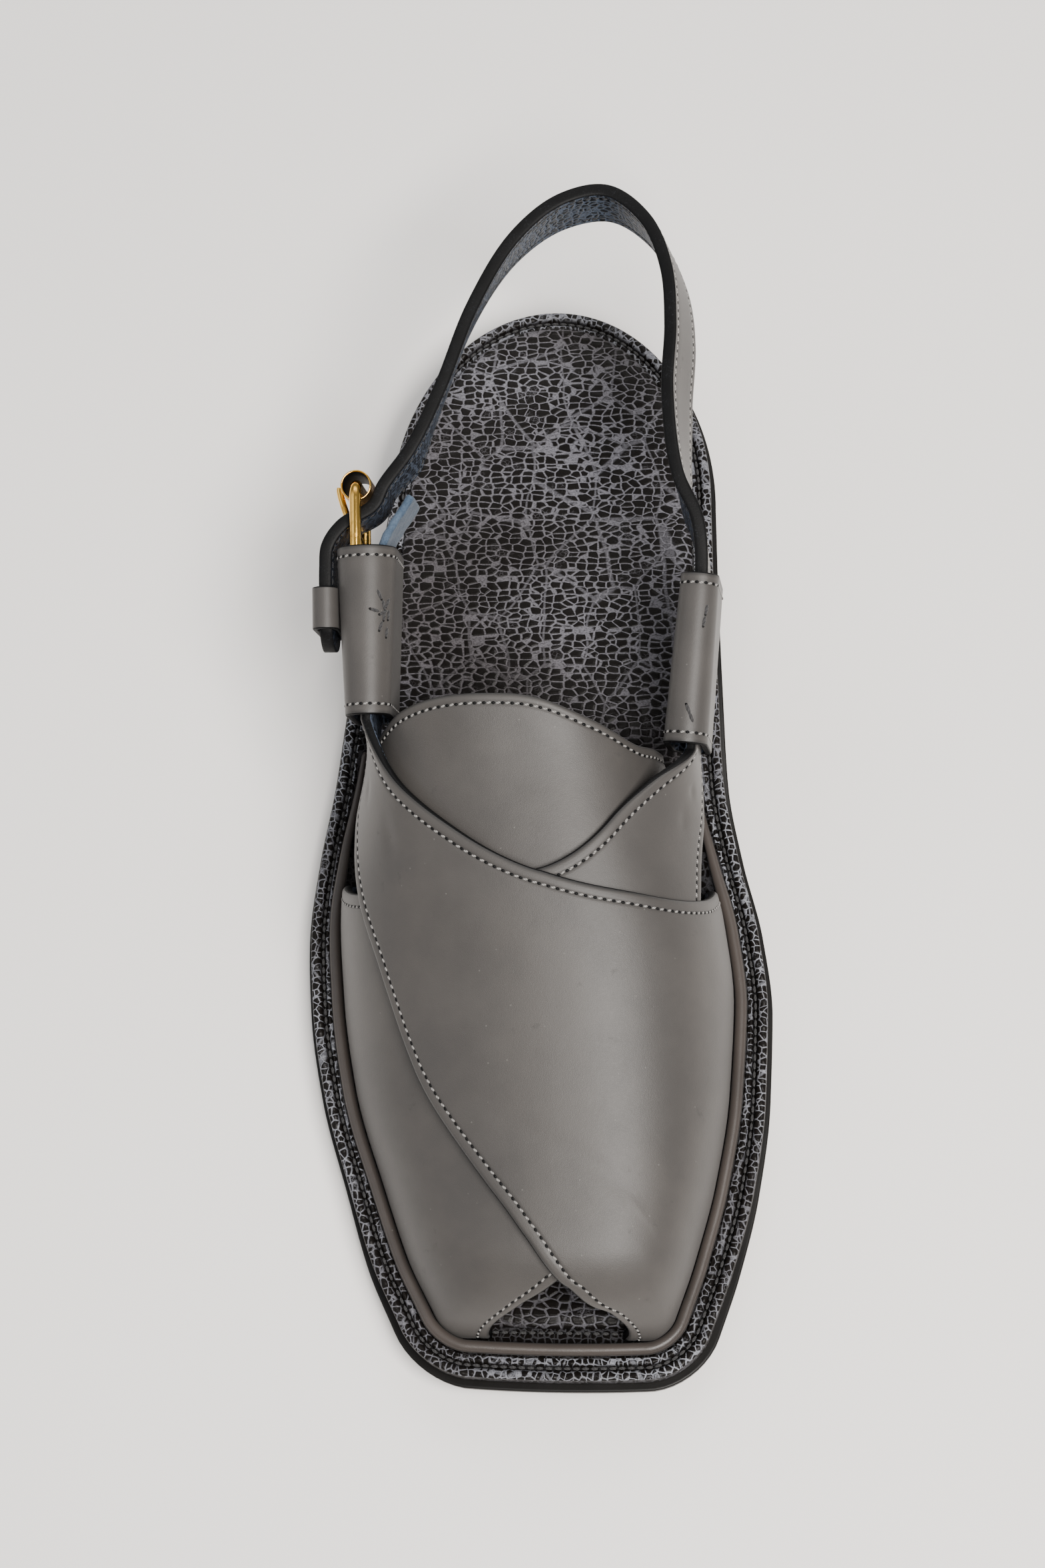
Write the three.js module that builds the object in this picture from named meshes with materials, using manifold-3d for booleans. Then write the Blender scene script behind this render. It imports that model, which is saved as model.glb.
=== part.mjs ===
import * as THREE from 'three';
import { mergeVertices } from 'three/addons/utils/BufferGeometryUtils.js';
import Module from 'manifold-3d';

// A right-foot chappal with two wide crossed straps, a tongue, a rubber sole with a low heel, and a
// buckled heel strap. Millimetres. While it is built, the toe lies towards -Y, the inner (medial)
// side is +X, and the floor is z = 0. `along` is always a share of the sole's length, from 0 at
// the toe to 1 at the heel.

// Sole
const SOLE_LENGTH = 300;
const BALL_WIDTH = 123.6;
const RUBBER = 5.5;
const HEEL_HEIGHT = 9;
const TOE_SPRING = 4;
const BOARD = 4.8;
const INSOLE = 2.6;
const TOE_CORNER = 14;
const MIN_CORNER = 4;
const FIT = 0.3;

// Rim, each width measured in from the rubber's edge or the piece before it
const LEDGE = 1.2;
const OUTER_BEAD = 2.5;
const GROOVE = 0.9;
const INNER_BEAD = 1.8;
const BEAD_RISE = 0.9;
const PIPING = 3.2;

// Upper
const INSTEP_HEIGHT = 62;
const STRAP_WALL = 3;
const TONGUE_WALL = 2;
const TOE_ROUNDING = 18;
const SINK = 0.5;
const FOOT_UPRIGHT = 4;
const ANKLE_RELEASE = 0.34;

// Ankle and buckle
const ANKLE_STRAP_WIDTH = 24;
const ANKLE_SLOPE = 15;
const SLEEVE_LENGTH = 43.5;
const SLEEVE_OVERLAP = 12;
const SLEEVE_WALL = 1.8;
const HEEL_STRAP_WIDTH = 18;
const HEEL_STRAP_WALL = 3.3;
const HEEL_STRAP_HEIGHT = 84;
const WIRE = 3;
const WIRE_CORNER = 3.6;
const FRAME_GRIP = 8;
const FRAME_REACH = 16.4;
const FRAME_OFFSET = 2.6;
const ROLLER = 8;
const ROLLER_WALL = 0.5;
const PRONG = 1.8;
const KEEPER_LENGTH = 11;
const KEEPER_WALL = 1.4;
const KEEPER_PLACE = 28;
const TIP_PLACE = 18;
const TIP_ROUNDING = 6;
const TAB_WALL = 2.1;
const TAB_WIDTH = 17;
const TAB_REACH = 13.5;
const TAB_BEND = 9;

// Places along the sole where its underside and edge change
const HEEL_ROUND_START = 0.8;
const WAIST_FRONT = 0.465;
const WAIST_BACK = 0.68;
const SPRING_START = 0.18;
const HEEL_BREAST = 0.695;
const BREAST_HOLLOW = 5;

// The sole's edge, each side as a share of the ball width
const SOLE_SIDES = [
  { along: 0.045, lateral: -0.274, medial: 0.392 },
  { along: 0.10, lateral: -0.337, medial: 0.434 },
  { along: 0.17, lateral: -0.393, medial: 0.473 },
  { along: 0.25, lateral: -0.453, medial: 0.496 },
  { along: 0.33, lateral: -0.488, medial: 0.500 },
  { along: 0.40, lateral: -0.499, medial: 0.479 },
  { along: 0.47, lateral: -0.485, medial: 0.436 },
  { along: 0.54, lateral: -0.456, medial: 0.403 },
  { along: 0.62, lateral: -0.429, medial: 0.391 },
  { along: 0.72, lateral: -0.383, medial: 0.379 },
  { along: 0.80, lateral: -0.361, medial: 0.372 },
];

// Where the piping's middle runs, in from the sole's edge, as a share of the ball width
const PIPING_RUN = [
  { along: 0.00, lateral: 0.078, medial: 0.078 },
  { along: 0.12, lateral: 0.072, medial: 0.077 },
  { along: 0.22, lateral: 0.063, medial: 0.072 },
  { along: 0.33, lateral: 0.066, medial: 0.066 },
  { along: 0.44, lateral: 0.062, medial: 0.064 },
  { along: 0.56, lateral: 0.060, medial: 0.074 },
];
const PIPING_END = 0.565;
const RIM_CHANGE = 0.06;
const FEATHER_END = 0.445;

// The last: crown height as a share of the instep height, the crown's shift towards the medial side
// as a share of the ball width, and how square each cross-section is (2 is an ellipse)
const LAST = [
  { along: 0.05, height: 0.34, shift: 0.03, square: 2.7 },
  { along: 0.10, height: 0.44, shift: 0.05, square: 2.5 },
  { along: 0.15, height: 0.50, shift: 0.06, square: 2.35 },
  { along: 0.22, height: 0.58, shift: 0.07, square: 2.25 },
  { along: 0.30, height: 0.69, shift: 0.07, square: 2.2 },
  { along: 0.40, height: 0.84, shift: 0.045, square: 2.3 },
  { along: 0.50, height: 0.97, shift: 0.01, square: 2.6 },
  { along: 0.56, height: 1.03, shift: -0.02, square: 2.8 },
  { along: 0.64, height: 1.08, shift: -0.03, square: 2.8 },
];

// Edges of the two straps on the last: `around` runs from -1 at the lateral feather line over the
// crown to +1 at the medial one, and `lift` is the height above the last in strap walls
const OVER_STRAP = {
  topEdge: [
    { along: 0.535, around: -0.45, lift: 1 },
    { along: 0.490, around: -0.38, lift: 1 },
    { along: 0.432, around: -0.18, lift: 1 },
    { along: 0.397, around: 0.02, lift: 1 },
    { along: 0.384, around: 0.27, lift: 0.9 },
    { along: 0.392, around: 0.60, lift: 0.4 },
    { along: 0.434, around: 1.00, lift: 0 },
  ],
  toeEdge: [
    { along: 0.565, around: -0.80, lift: 1 },
    { along: 0.480, around: -0.72, lift: 1 },
    { along: 0.360, around: -0.58, lift: 1 },
    { along: 0.225, around: -0.44, lift: 1 },
    { along: 0.120, around: -0.17, lift: 1 },
    { along: 0.080, around: 0.00, lift: 0.9 },
    { along: 0.062, around: 0.22, lift: 0.4 },
    { along: 0.000, around: 0.50, lift: 0 },
  ],
};
const UNDER_STRAP = {
  topEdge: [
    { along: 0.512, around: 0.50, lift: 0 },
    { along: 0.485, around: 0.40, lift: 0 },
    { along: 0.446, around: 0.26, lift: 0 },
    { along: 0.402, around: 0.01, lift: 0 },
    { along: 0.390, around: -0.30, lift: 0 },
    { along: 0.405, around: -0.70, lift: 0 },
    { along: 0.440, around: -1.00, lift: 0 },
  ],
  toeEdge: [
    { along: 0.540, around: 0.84, lift: 0 },
    { along: 0.470, around: 0.74, lift: 0 },
    { along: 0.398, around: 0.62, lift: 0 },
    { along: 0.250, around: 0.44, lift: 0 },
    { along: 0.130, around: 0.16, lift: 0 },
    { along: 0.082, around: -0.01, lift: 0 },
    { along: 0.064, around: -0.18, lift: 0 },
    { along: 0.000, around: -0.46, lift: 0 },
  ],
};

// The tongue's wavy top edge, and its straight front edge hidden under the straps
const TONGUE_TOP = [
  { around: -0.56, reach: 0.532 },
  { around: -0.40, reach: 0.537 },
  { around: -0.02, reach: 0.541 },
  { around: 0.27, reach: 0.526 },
  { around: 0.50, reach: 0.517 },
  { around: 0.66, reach: 0.524 },
];
const TONGUE_FRONT = 0.34;

// The two ankles: where the top fold of each sleeve starts and how it lies (x and endX as shares of
// the ball width, lean towards the inside in degrees), and the strap's place out from the middle
const LATERAL_ANKLE = {
  side: -1, x: -0.330, endX: -0.338, along: 0.535, height: 66.5, lean: 1, strapOffset: 0.3,
};
const MEDIAL_ANKLE = {
  side: 1, x: 0.323, endX: 0.353, along: 0.512, height: 64, lean: 1, strapOffset: 1.5,
};
const LATERAL_SLEEVE = { mouth: 11.6, end: 15.6 };
const MEDIAL_SLEEVE = { mouth: 11.4, end: 9.8 };

// Heel strap, round the heel between the two sleeves: its top edge, `across` as a share of the ball
// width and `height` as a share of the height at the back, and the edge's lean towards the inside
const HEEL_STRAP = [
  { along: 0.705, across: 0.347, height: 0.865, lean: 0 },
  { along: 0.745, across: 0.304, height: 0.895, lean: 9 },
  { along: 0.815, across: 0.282, height: 0.938, lean: 15 },
  { along: 0.878, across: 0.287, height: 0.965, lean: 15 },
  { along: 0.930, across: 0.276, height: 0.985, lean: 12 },
  { along: 0.974, across: 0.232, height: 0.996, lean: 9 },
  { along: 1.001, across: 0.150, height: 1.000, lean: 7 },
  { along: 0.993, across: 0.053, height: 1.000, lean: 8 },
  { along: 0.958, across: -0.042, height: 0.994, lean: 11 },
  { along: 0.893, across: -0.127, height: 0.980, lean: 13 },
  { along: 0.820, across: -0.188, height: 0.960, lean: 12 },
  { along: 0.765, across: -0.247, height: 0.938, lean: 7 },
];

// Counts
const HEEL_STEPS = 8;
const SIDE_STEPS = 15;
const CORNER_STEPS = 4;
const STRAP_STEPS = 23;
const SLEEVE_STEPS = 2;
const STRAP_ROWS = 18;
const WIRE_SIDES = 8;

const wasm = await Module();
wasm.setup();

const clamp = THREE.MathUtils.clamp;
const lerp = THREE.MathUtils.lerp;
const radians = THREE.MathUtils.degToRad;
const smoothstep = (x, low, high) => THREE.MathUtils.smoothstep(x, low, high);
const vector = (x, y, z) => new THREE.Vector3(x, y, z);

// Y of a place along the sole, with y = 0 at its middle
const yAt = (along) => (along - 0.5) * SOLE_LENGTH;
const alongAt = (y) => y / SOLE_LENGTH + 0.5;

// A shape-keeping cubic through one named column of a table, against another column
function column(rows, name, key = 'along') {
  const steps = rows.slice(1).map((row, i) => row[key] - rows[i][key]);
  const slopes = rows.slice(1).map((row, i) => (row[name] - rows[i][name]) / steps[i]);
  const tangents = rows.map((row, i) => {
    const before = slopes[Math.max(i - 1, 0)];
    const after = slopes[Math.min(i, slopes.length - 1)];
    if (before * after <= 0) return 0;
    return (2 * before * after) / (before + after);
  });
  const first = rows[0];
  const final = rows[rows.length - 1];
  return (x) => {
    if (x <= first[key]) return first[name] + tangents[0] * (x - first[key]);
    if (x >= final[key]) return final[name] + tangents[rows.length - 1] * (x - final[key]);
    let i = 0;
    while (x > rows[i + 1][key]) i += 1;
    const step = steps[i];
    const s = (x - rows[i][key]) / step;
    const rise = s * s * (3 - 2 * s);
    return (
      rows[i][name] * (1 - rise) +
      rows[i + 1][name] * rise +
      step * s * (1 - s) * ((1 - s) * tangents[i] - s * tangents[i + 1])
    );
  };
}

// A mesh's geometry from points and triangles, turned so that its faces point outwards
function solidGeometry(points, triangles) {
  let volume = 0;
  for (const [a, b, c] of triangles) {
    volume += points[a].dot(new THREE.Vector3().crossVectors(points[b], points[c]));
  }
  const index = triangles.flatMap(([a, b, c]) => (volume > 0 ? [a, b, c] : [a, c, b]));
  const geometry = new THREE.BufferGeometry();
  const places = points.flatMap((point) => point.toArray());
  geometry.setAttribute('position', new THREE.Float32BufferAttribute(places, 3));
  geometry.setIndex(index);
  return geometry;
}

function toManifold(geometry) {
  const plain = geometry.clone();
  plain.deleteAttribute('normal');
  plain.deleteAttribute('uv');
  const merged = mergeVertices(plain, 1e-4);
  return new wasm.Manifold(new wasm.Mesh({
    numProp: 3,
    vertProperties: new Float32Array(merged.attributes.position.array),
    triVerts: new Uint32Array(merged.index.array),
  }));
}

function fromManifold(manifold) {
  const mesh = manifold.getMesh();
  const geometry = new THREE.BufferGeometry();
  geometry.setAttribute('position', new THREE.BufferAttribute(new Float32Array(mesh.vertProperties), 3));
  geometry.setIndex(new THREE.BufferAttribute(new Uint32Array(mesh.triVerts), 1));
  return geometry;
}

// Sole

const lateralEdge = column(SOLE_SIDES, 'lateral');
const medialEdge = column(SOLE_SIDES, 'medial');

// The sole's underside: flat under the ball and the heel, curved in the waist and at the toe
function underside(along) {
  const spring = Math.max(0, (SPRING_START - along) / SPRING_START);
  return HEEL_HEIGHT * smoothstep(along, WAIST_FRONT, WAIST_BACK) + TOE_SPRING * spring * spring;
}

const rubberTop = (along) => underside(along) + RUBBER;
const boardTop = (along) => rubberTop(along) + FIT + BOARD;

// X of the sole's edge on one side, `inset` inside it
function edgeX(side, along, inset) {
  const share = side > 0 ? medialEdge : lateralEdge;
  if (along > HEEL_ROUND_START) {
    const lateral = lateralEdge(HEEL_ROUND_START) * BALL_WIDTH;
    const medial = medialEdge(HEEL_ROUND_START) * BALL_WIDTH;
    const reach = (1 - HEEL_ROUND_START) * SOLE_LENGTH - inset;
    const way = clamp(((along - HEEL_ROUND_START) * SOLE_LENGTH) / reach, 0, 1);
    const half = (medial - lateral) / 2 - inset;
    return (medial + lateral) / 2 + side * half * Math.sqrt(1 - way * way);
  }
  const step = 0.004;
  const slope = ((share(along + step) - share(along - step)) * BALL_WIDTH) / (2 * step * SOLE_LENGTH);
  return share(along) * BALL_WIDTH - side * inset * Math.hypot(1, slope);
}

// One side of a layer's outline from the heel's middle to the toe's front, as flat points
function sidePoints(side, insetAt) {
  const points = [];
  const heelInset = insetAt(side, 1);
  const reach = (1 - HEEL_ROUND_START) * SOLE_LENGTH - heelInset;
  for (let i = 0; i < HEEL_STEPS; i += 1) {
    const along = HEEL_ROUND_START + (reach * Math.cos((Math.PI / 2) * (i / HEEL_STEPS))) / SOLE_LENGTH;
    points.push({ along, x: edgeX(side, along, heelInset) });
  }
  const toeInset = insetAt(side, 0);
  const front = toeInset / SOLE_LENGTH;
  const radius = Math.max(TOE_CORNER - 0.7 * toeInset, MIN_CORNER);
  const cornerAlong = front + radius / SOLE_LENGTH;
  for (let i = 0; i <= SIDE_STEPS; i += 1) {
    const along = lerp(HEEL_ROUND_START, cornerAlong, i / SIDE_STEPS);
    points.push({ along, x: edgeX(side, along, insetAt(side, along)) });
  }
  const start = points[points.length - 1];
  const cornerX = edgeX(side, front, toeInset);
  const bend = new THREE.CubicBezierCurve(
    new THREE.Vector2(start.x, start.along),
    new THREE.Vector2(lerp(start.x, cornerX, 0.55), lerp(start.along, front, 0.55)),
    new THREE.Vector2(cornerX - side * radius * 0.45, front),
    new THREE.Vector2(cornerX - side * radius, front),
  );
  for (let i = 1; i <= CORNER_STEPS; i += 1) {
    const point = bend.getPoint(i / CORNER_STEPS);
    points.push({ along: point.y, x: point.x });
  }
  return points;
}

// A closed ring: the heel's middle, the medial side, then the lateral side back from the toe
function ring(inset, zAt) {
  const insetAt = typeof inset === 'function' ? inset : () => inset;
  const medial = sidePoints(1, insetAt);
  const lateral = sidePoints(-1, insetAt);
  const flat = [medial[0], ...medial.slice(1), ...lateral.slice(1).reverse()];
  return flat.map(({ along, x }) => vector(x, yAt(along), zAt(along)));
}

// Caps as triples of ring indices that turn like the ring: a strip between the ring's two sides, or
// any outline cut into triangles
function stripCap({ length }) {
  const faces = [];
  for (let i = 0; i < (length - 1) / 2; i += 1) {
    const opposite = length - 1 - i;
    faces.push([i, i + 1, opposite]);
    if (i > 0) faces.push([i, opposite, opposite + 1]);
  }
  return faces;
}

function outlineCap(outline) {
  const flat = outline.map(({ x, y }) => new THREE.Vector2(x, y));
  const turn = Math.sign(THREE.ShapeUtils.area(flat));
  return THREE.ShapeUtils.triangulateShape(flat, []).map(([a, b, c]) => (
    Math.sign(THREE.ShapeUtils.area([flat[a], flat[b], flat[c]])) === turn ? [a, b, c] : [a, c, b]
  ));
}

// A solid from rings stacked on each other
function stack(rings, cap = stripCap) {
  const count = rings[0].length;
  const top = (rings.length - 1) * count;
  const triangles = [];
  for (let start = 0; start < top; start += count) {
    for (let i = 0; i < count; i += 1) {
      const a = start + i;
      const b = start + ((i + 1) % count);
      triangles.push([a, b, b + count], [a, b + count, a + count]);
    }
  }
  for (const [a, b, c] of cap(rings[0])) triangles.push([a, c, b]);
  for (const face of cap(rings[rings.length - 1])) triangles.push(face.map((index) => index + top));
  return solidGeometry(rings.flat(), triangles);
}

// Rubber outsole with a chamfered foot, a shallow groove round its wall and a ledge for the board
const OUTSOLE_PROFILE = [
  { inset: 1.6, share: 0 },
  { inset: 0.5, share: 0.12 },
  { inset: 0.3, share: 0.55 },
  { inset: 0.9, share: 0.62 },
  { inset: 0.9, share: 0.7 },
  { inset: 0, share: 0.77 },
  { inset: 0, share: 0.94 },
  { inset: 0.35, share: 1 },
];

function outsole() {
  return stack(OUTSOLE_PROFILE.map(({ inset, share }) => (
    ring(inset, (along) => underside(along) + RUBBER * share)
  )));
}

// Low heel block with a hollowed breast
const HEEL_PROFILE = [
  { inset: 3.2, share: 0 },
  { inset: 2.2, share: 0.12 },
  { inset: 1.9, share: 0.86 },
  { inset: 1.2, share: 1 },
];

function heelLift() {
  const steps = 10;
  const side = (sign, inset) => Array.from({ length: HEEL_STEPS + steps }, (_, i) => {
    const reach = (1 - HEEL_ROUND_START) * SOLE_LENGTH - inset;
    const angle = (Math.PI / 2) * (i / HEEL_STEPS);
    const along = i < HEEL_STEPS
      ? HEEL_ROUND_START + (reach * Math.cos(angle)) / SOLE_LENGTH
      : lerp(HEEL_ROUND_START, HEEL_BREAST, (i - HEEL_STEPS) / (steps - 1));
    return vector(edgeX(sign, along, inset), yAt(along), 0);
  });
  const breast = (sign, inset) => [0.75, 0.5, 0.25].map((share) => {
    const x = edgeX(sign, HEEL_BREAST, inset) * share;
    return vector(x, yAt(HEEL_BREAST) + BREAST_HOLLOW * (1 - share * share), 0);
  });
  return stack(HEEL_PROFILE.map(({ inset, share }) => {
    const medial = [...side(1, inset), ...breast(1, inset)];
    const lateral = [...side(-1, inset), ...breast(-1, inset)];
    const z = (HEEL_HEIGHT - FIT) * share;
    return [...medial, ...lateral.slice(1).reverse()].map((point) => point.clone().setZ(z));
  }), outlineCap);
}

const pipingLateral = column(PIPING_RUN, 'lateral');
const pipingMedial = column(PIPING_RUN, 'medial');
const pipingInset = (side, along) => (side > 0 ? pipingMedial : pipingLateral)(along) * BALL_WIDTH;
const featherInset = (side, along) => pipingInset(side, along) + PIPING / 2 + FIT + STRAP_WALL;
const rimInset = LEDGE + OUTER_BEAD + GROOVE + INNER_BEAD;

// The inner bead ends at the piping, or at the insole where there is no piping
const beadEnd = (side, along) => lerp(
  pipingInset(side, Math.min(along, PIPING_END)) - PIPING / 2 - FIT,
  rimInset,
  smoothstep(along, PIPING_END, PIPING_END + RIM_CHANGE),
);

// Footbed board, wrapped in leather: two beads with a stitched groove between them
function midsole() {
  const base = (along) => rubberTop(along) + FIT;
  const top = BOARD;
  const a = LEDGE;
  const b = a + OUTER_BEAD;
  const c = b + GROOVE;
  const profile = [
    { inset: a + 0.3, rise: 0 },
    { inset: a, rise: top * 0.3 },
    { inset: a + 0.1, rise: top * 0.75 },
    { inset: a + OUTER_BEAD * 0.35, rise: top + BEAD_RISE },
    { inset: a + OUTER_BEAD * 0.7, rise: top + BEAD_RISE },
    { inset: b, rise: top - 0.3 },
    { inset: c, rise: top - 0.3 },
    { inset: (side, along) => lerp(c, beadEnd(side, along), 0.4), rise: top + BEAD_RISE * 0.6 },
    { inset: beadEnd, rise: top },
  ];
  return stack(profile.map(({ inset, rise }) => ring(inset, (along) => base(along) + rise)));
}

// Raised insole: fills the heel inside the rim, and lies inside the upper's wall from the waist on
function insole() {
  const insetAt = (side, along) => {
    const besidePiping = pipingInset(side, Math.min(along, PIPING_END)) + PIPING / 2 + FIT;
    const wall = (STRAP_WALL + 2 * FIT) * (1 - smoothstep(along, FEATHER_END, FEATHER_END + 0.04));
    const free = smoothstep(along, PIPING_END, PIPING_END + RIM_CHANGE);
    return lerp(besidePiping + wall, rimInset + FIT, free);
  };
  const base = (along) => boardTop(along) + FIT;
  const within = (extra) => (side, along) => insetAt(side, along) + extra;
  return stack([
    ring(within(0), base),
    ring(within(0), (along) => base(along) + INSOLE * 0.5),
    ring(within(1.1), (along) => base(along) + INSOLE * 0.92),
    ring(within(2.6), (along) => base(along) + INSOLE),
  ]);
}

// Sweeps

// A tube of any convex section along stations that each have a middle, two directions, a scale, and
// a share of the section's full height
function sweep(stations, section, closed = false) {
  const size = section.length;
  const points = stations.flatMap(({ middle, across, up, scale = 1, tall = 1 }) => (
    section.map(([u, v]) => (
      middle.clone().addScaledVector(across, u * scale).addScaledVector(up, v * scale * tall)
    ))
  ));
  const triangles = [];
  const last = closed ? stations.length : stations.length - 1;
  for (let i = 0; i < last; i += 1) {
    for (let j = 0; j < size; j += 1) {
      const a = i * size + j;
      const b = i * size + ((j + 1) % size);
      const c = ((i + 1) % stations.length) * size + ((j + 1) % size);
      const d = ((i + 1) % stations.length) * size + j;
      triangles.push([a, b, c], [a, c, d]);
    }
  }
  if (!closed) {
    const end = (stations.length - 1) * size;
    for (let j = 1; j < size - 1; j += 1) {
      triangles.push([0, j + 1, j], [end, end + j, end + j + 1]);
    }
  }
  return solidGeometry(points, triangles);
}

const circle = (radius, sides) => Array.from({ length: sides }, (_, i) => {
  const angle = (2 * Math.PI * (i + 0.5)) / sides;
  return [radius * Math.cos(angle), radius * Math.sin(angle)];
});

// A bar's section with rounded long edges
const bar = (thickness, width, round) => {
  const u = thickness / 2;
  const v = width / 2;
  return [
    [u, -v + round], [u, v - round], [u - round, v], [-u + round, v],
    [-u, v - round], [-u, -v + round], [-u + round, -v], [u - round, -v],
  ];
};

// Leather piping round the foot of the upper, from waist to waist, thinning at its ends
function piping() {
  const path = [];
  for (const side of [1, -1]) {
    const points = sidePoints(side, (s, along) => pipingInset(s, along))
      .filter(({ along }) => along < PIPING_END);
    path.push(...(side > 0 ? points : points.reverse()));
  }
  const count = path.length;
  const stations = path.map(({ along, x }, i) => {
    const before = path[Math.max(i - 1, 0)];
    const after = path[Math.min(i + 1, count - 1)];
    const way = new THREE.Vector2(after.x - before.x, yAt(after.along) - yAt(before.along)).normalize();
    const scale = clamp(Math.min(i, count - 1 - i) * 0.22 + 0.4, 0, 1);
    return {
      middle: vector(x, yAt(along), boardTop(along) + FIT + (PIPING / 2) * scale),
      across: vector(-way.y, way.x, 0),
      up: vector(0, 0, 1),
      scale,
    };
  });
  return sweep(stations, circle(PIPING / 2, WIRE_SIDES));
}

// Last

const crown = column(LAST, 'height');
const crownShift = column(LAST, 'shift');
const squareness = column(LAST, 'square');
const toeFront = (featherInset(1, 0) + featherInset(-1, 0)) / 2 / SOLE_LENGTH;
const toeCorner = Math.max(TOE_CORNER - 0.7 * featherInset(1, 0), MIN_CORNER);

// The feather line, where the upper meets the board
function featherX(side, along) {
  const cornerTop = toeFront + toeCorner / SOLE_LENGTH;
  if (along >= cornerTop) return edgeX(side, along, featherInset(side, along));
  const start = edgeX(side, cornerTop, featherInset(side, cornerTop));
  const cornerX = edgeX(side, toeFront, featherInset(side, toeFront));
  const down = clamp((cornerTop - along) / (cornerTop - toeFront), 0, 1);
  const flat = cornerX - side * toeCorner;
  return flat + (lerp(start, cornerX, down) - flat) * Math.sqrt(Math.max(0, 1 - down ** 2.2));
}

// A point of the last's surface
function lastPoint(along, around) {
  const station = Math.max(along, toeFront);
  const lateral = featherX(-1, station);
  const medial = featherX(1, station);
  const square = squareness(station);
  const angle = (clamp(around, -1, 1) * Math.PI) / 2;
  const out = Math.sign(angle) * Math.abs(Math.sin(angle)) ** (2 / square);
  const rise = Math.max(Math.cos(angle), 0) ** (2 / square);
  const nose = clamp(((station - toeFront) * SOLE_LENGTH) / TOE_ROUNDING, 0, 1);
  const noseRise = (1 - (1 - nose) ** 2.4) ** (1 / 2.4);
  const x = (medial + lateral) / 2 + ((medial - lateral) / 2) * out
    + crownShift(station) * BALL_WIDTH * rise * rise * noseRise;
  const z = boardTop(station) + FIT + INSTEP_HEIGHT * crown(station) * rise * noseRise;
  return vector(x, yAt(station), z);
}

// The direction away from the foot: level at the feather line, square to the surface above it
function lastNormal(along, around) {
  const stepAlong = 0.003;
  const stepAround = 0.015;
  const station = Math.max(along, toeFront + stepAlong);
  const place = clamp(around, -1 + stepAround, 1 - stepAround);
  const forward = lastPoint(station + stepAlong, place).sub(lastPoint(station - stepAlong, place));
  const sideways = lastPoint(station, place + stepAround).sub(lastPoint(station, place - stepAround));
  const normal = sideways.cross(forward).normalize();
  const side = around < 0 ? -1 : 1;
  const foot = lastPoint(along, around).z - boardTop(Math.max(along, toeFront)) - FIT;
  const span = featherX(side, station + stepAlong) - featherX(side, station - stepAlong);
  const outwards = vector(side, (-side * span) / (2 * stepAlong * SOLE_LENGTH), 0).normalize();
  const corner = clamp(1 - ((along - toeFront) * SOLE_LENGTH) / toeCorner, 0, 1);
  outwards.lerp(vector(0, -1, 0), corner * (1 - Math.abs(around) ** 3)).normalize();
  return outwards.lerp(normal, smoothstep(foot, 0, FOOT_UPRIGHT)).normalize();
}

// Straps

// The frame of an ankle: the middle of its top fold at the mouth, and its own directions
function ankleFrame({ side, x, endX, along, height, lean, strapOffset }) {
  const rise = radians(ANKLE_SLOPE);
  const sway = ((endX - x) * BALL_WIDTH) / SLEEVE_LENGTH;
  const back = vector(sway, Math.cos(rise), Math.sin(rise)).normalize();
  const level = vector(side, 0, 0).addScaledVector(back, -side * back.x).normalize();
  const upright = new THREE.Vector3().crossVectors(level, back).multiplyScalar(side);
  const [cos, sin] = [Math.cos(radians(lean)), Math.sin(radians(lean))];
  const up = upright.clone().multiplyScalar(cos).addScaledVector(level, -sin);
  const out = level.clone().multiplyScalar(cos).addScaledVector(upright, sin);
  return { side, top: vector(x * BALL_WIDTH, yAt(along), height), back, out, up, strapOffset };
}
const lateralAnkle = ankleFrame(LATERAL_ANKLE);
const medialAnkle = ankleFrame(MEDIAL_ANKLE);

// Half height of the room inside a sleeve, and the depth of the sleeve's middle under its fold
const railHeight = HEEL_STRAP_WIDTH / 2 + 0.4 + WIRE / 2;
const sleeveRoom = Math.max(ANKLE_STRAP_WIDTH / 2, railHeight + WIRE / 2) + 1.5;
const sleeveMiddle = sleeveRoom + SLEEVE_WALL;

// A point in an ankle's frame: back from the mouth, out from the middle plane, up from the middle
function anklePoint(ankle, back, out, up) {
  return ankle.top.clone()
    .addScaledVector(ankle.back, back)
    .addScaledVector(ankle.out, out)
    .addScaledVector(ankle.up, up - sleeveMiddle);
}

// A strap's edge as a curve through its table rows
function edgeCurve(rows) {
  const curve = new THREE.CatmullRomCurve3(
    rows.map(({ along, around, lift }) => vector(Math.max(along, toeFront), around, lift)),
    false,
    'centripetal',
  );
  return (t) => curve.getPoint(clamp(t, 0, 1));
}

// The way along the feather line from the strap's top edge to its toe edge, with shares of the rows
// for the side, for the toe's tight corner and for the front
function featherCurve(from, to) {
  const side = Math.sign(from.y);
  const corner = toeFront + toeCorner / SOLE_LENGTH;
  const sideShare = 0.55;
  const cornerShare = 0.22;
  return (t) => {
    if (t <= sideShare) return vector(lerp(from.x, corner, t / sideShare), side, 0);
    const turned = (t - sideShare) / cornerShare;
    if (turned <= 1) return vector(lerp(corner, toeFront, turned), side, 0);
    const crossed = (t - sideShare - cornerShare) / (1 - sideShare - cornerShare);
    return vector(toeFront, lerp(side, to.y, crossed), 0);
  };
}

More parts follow.
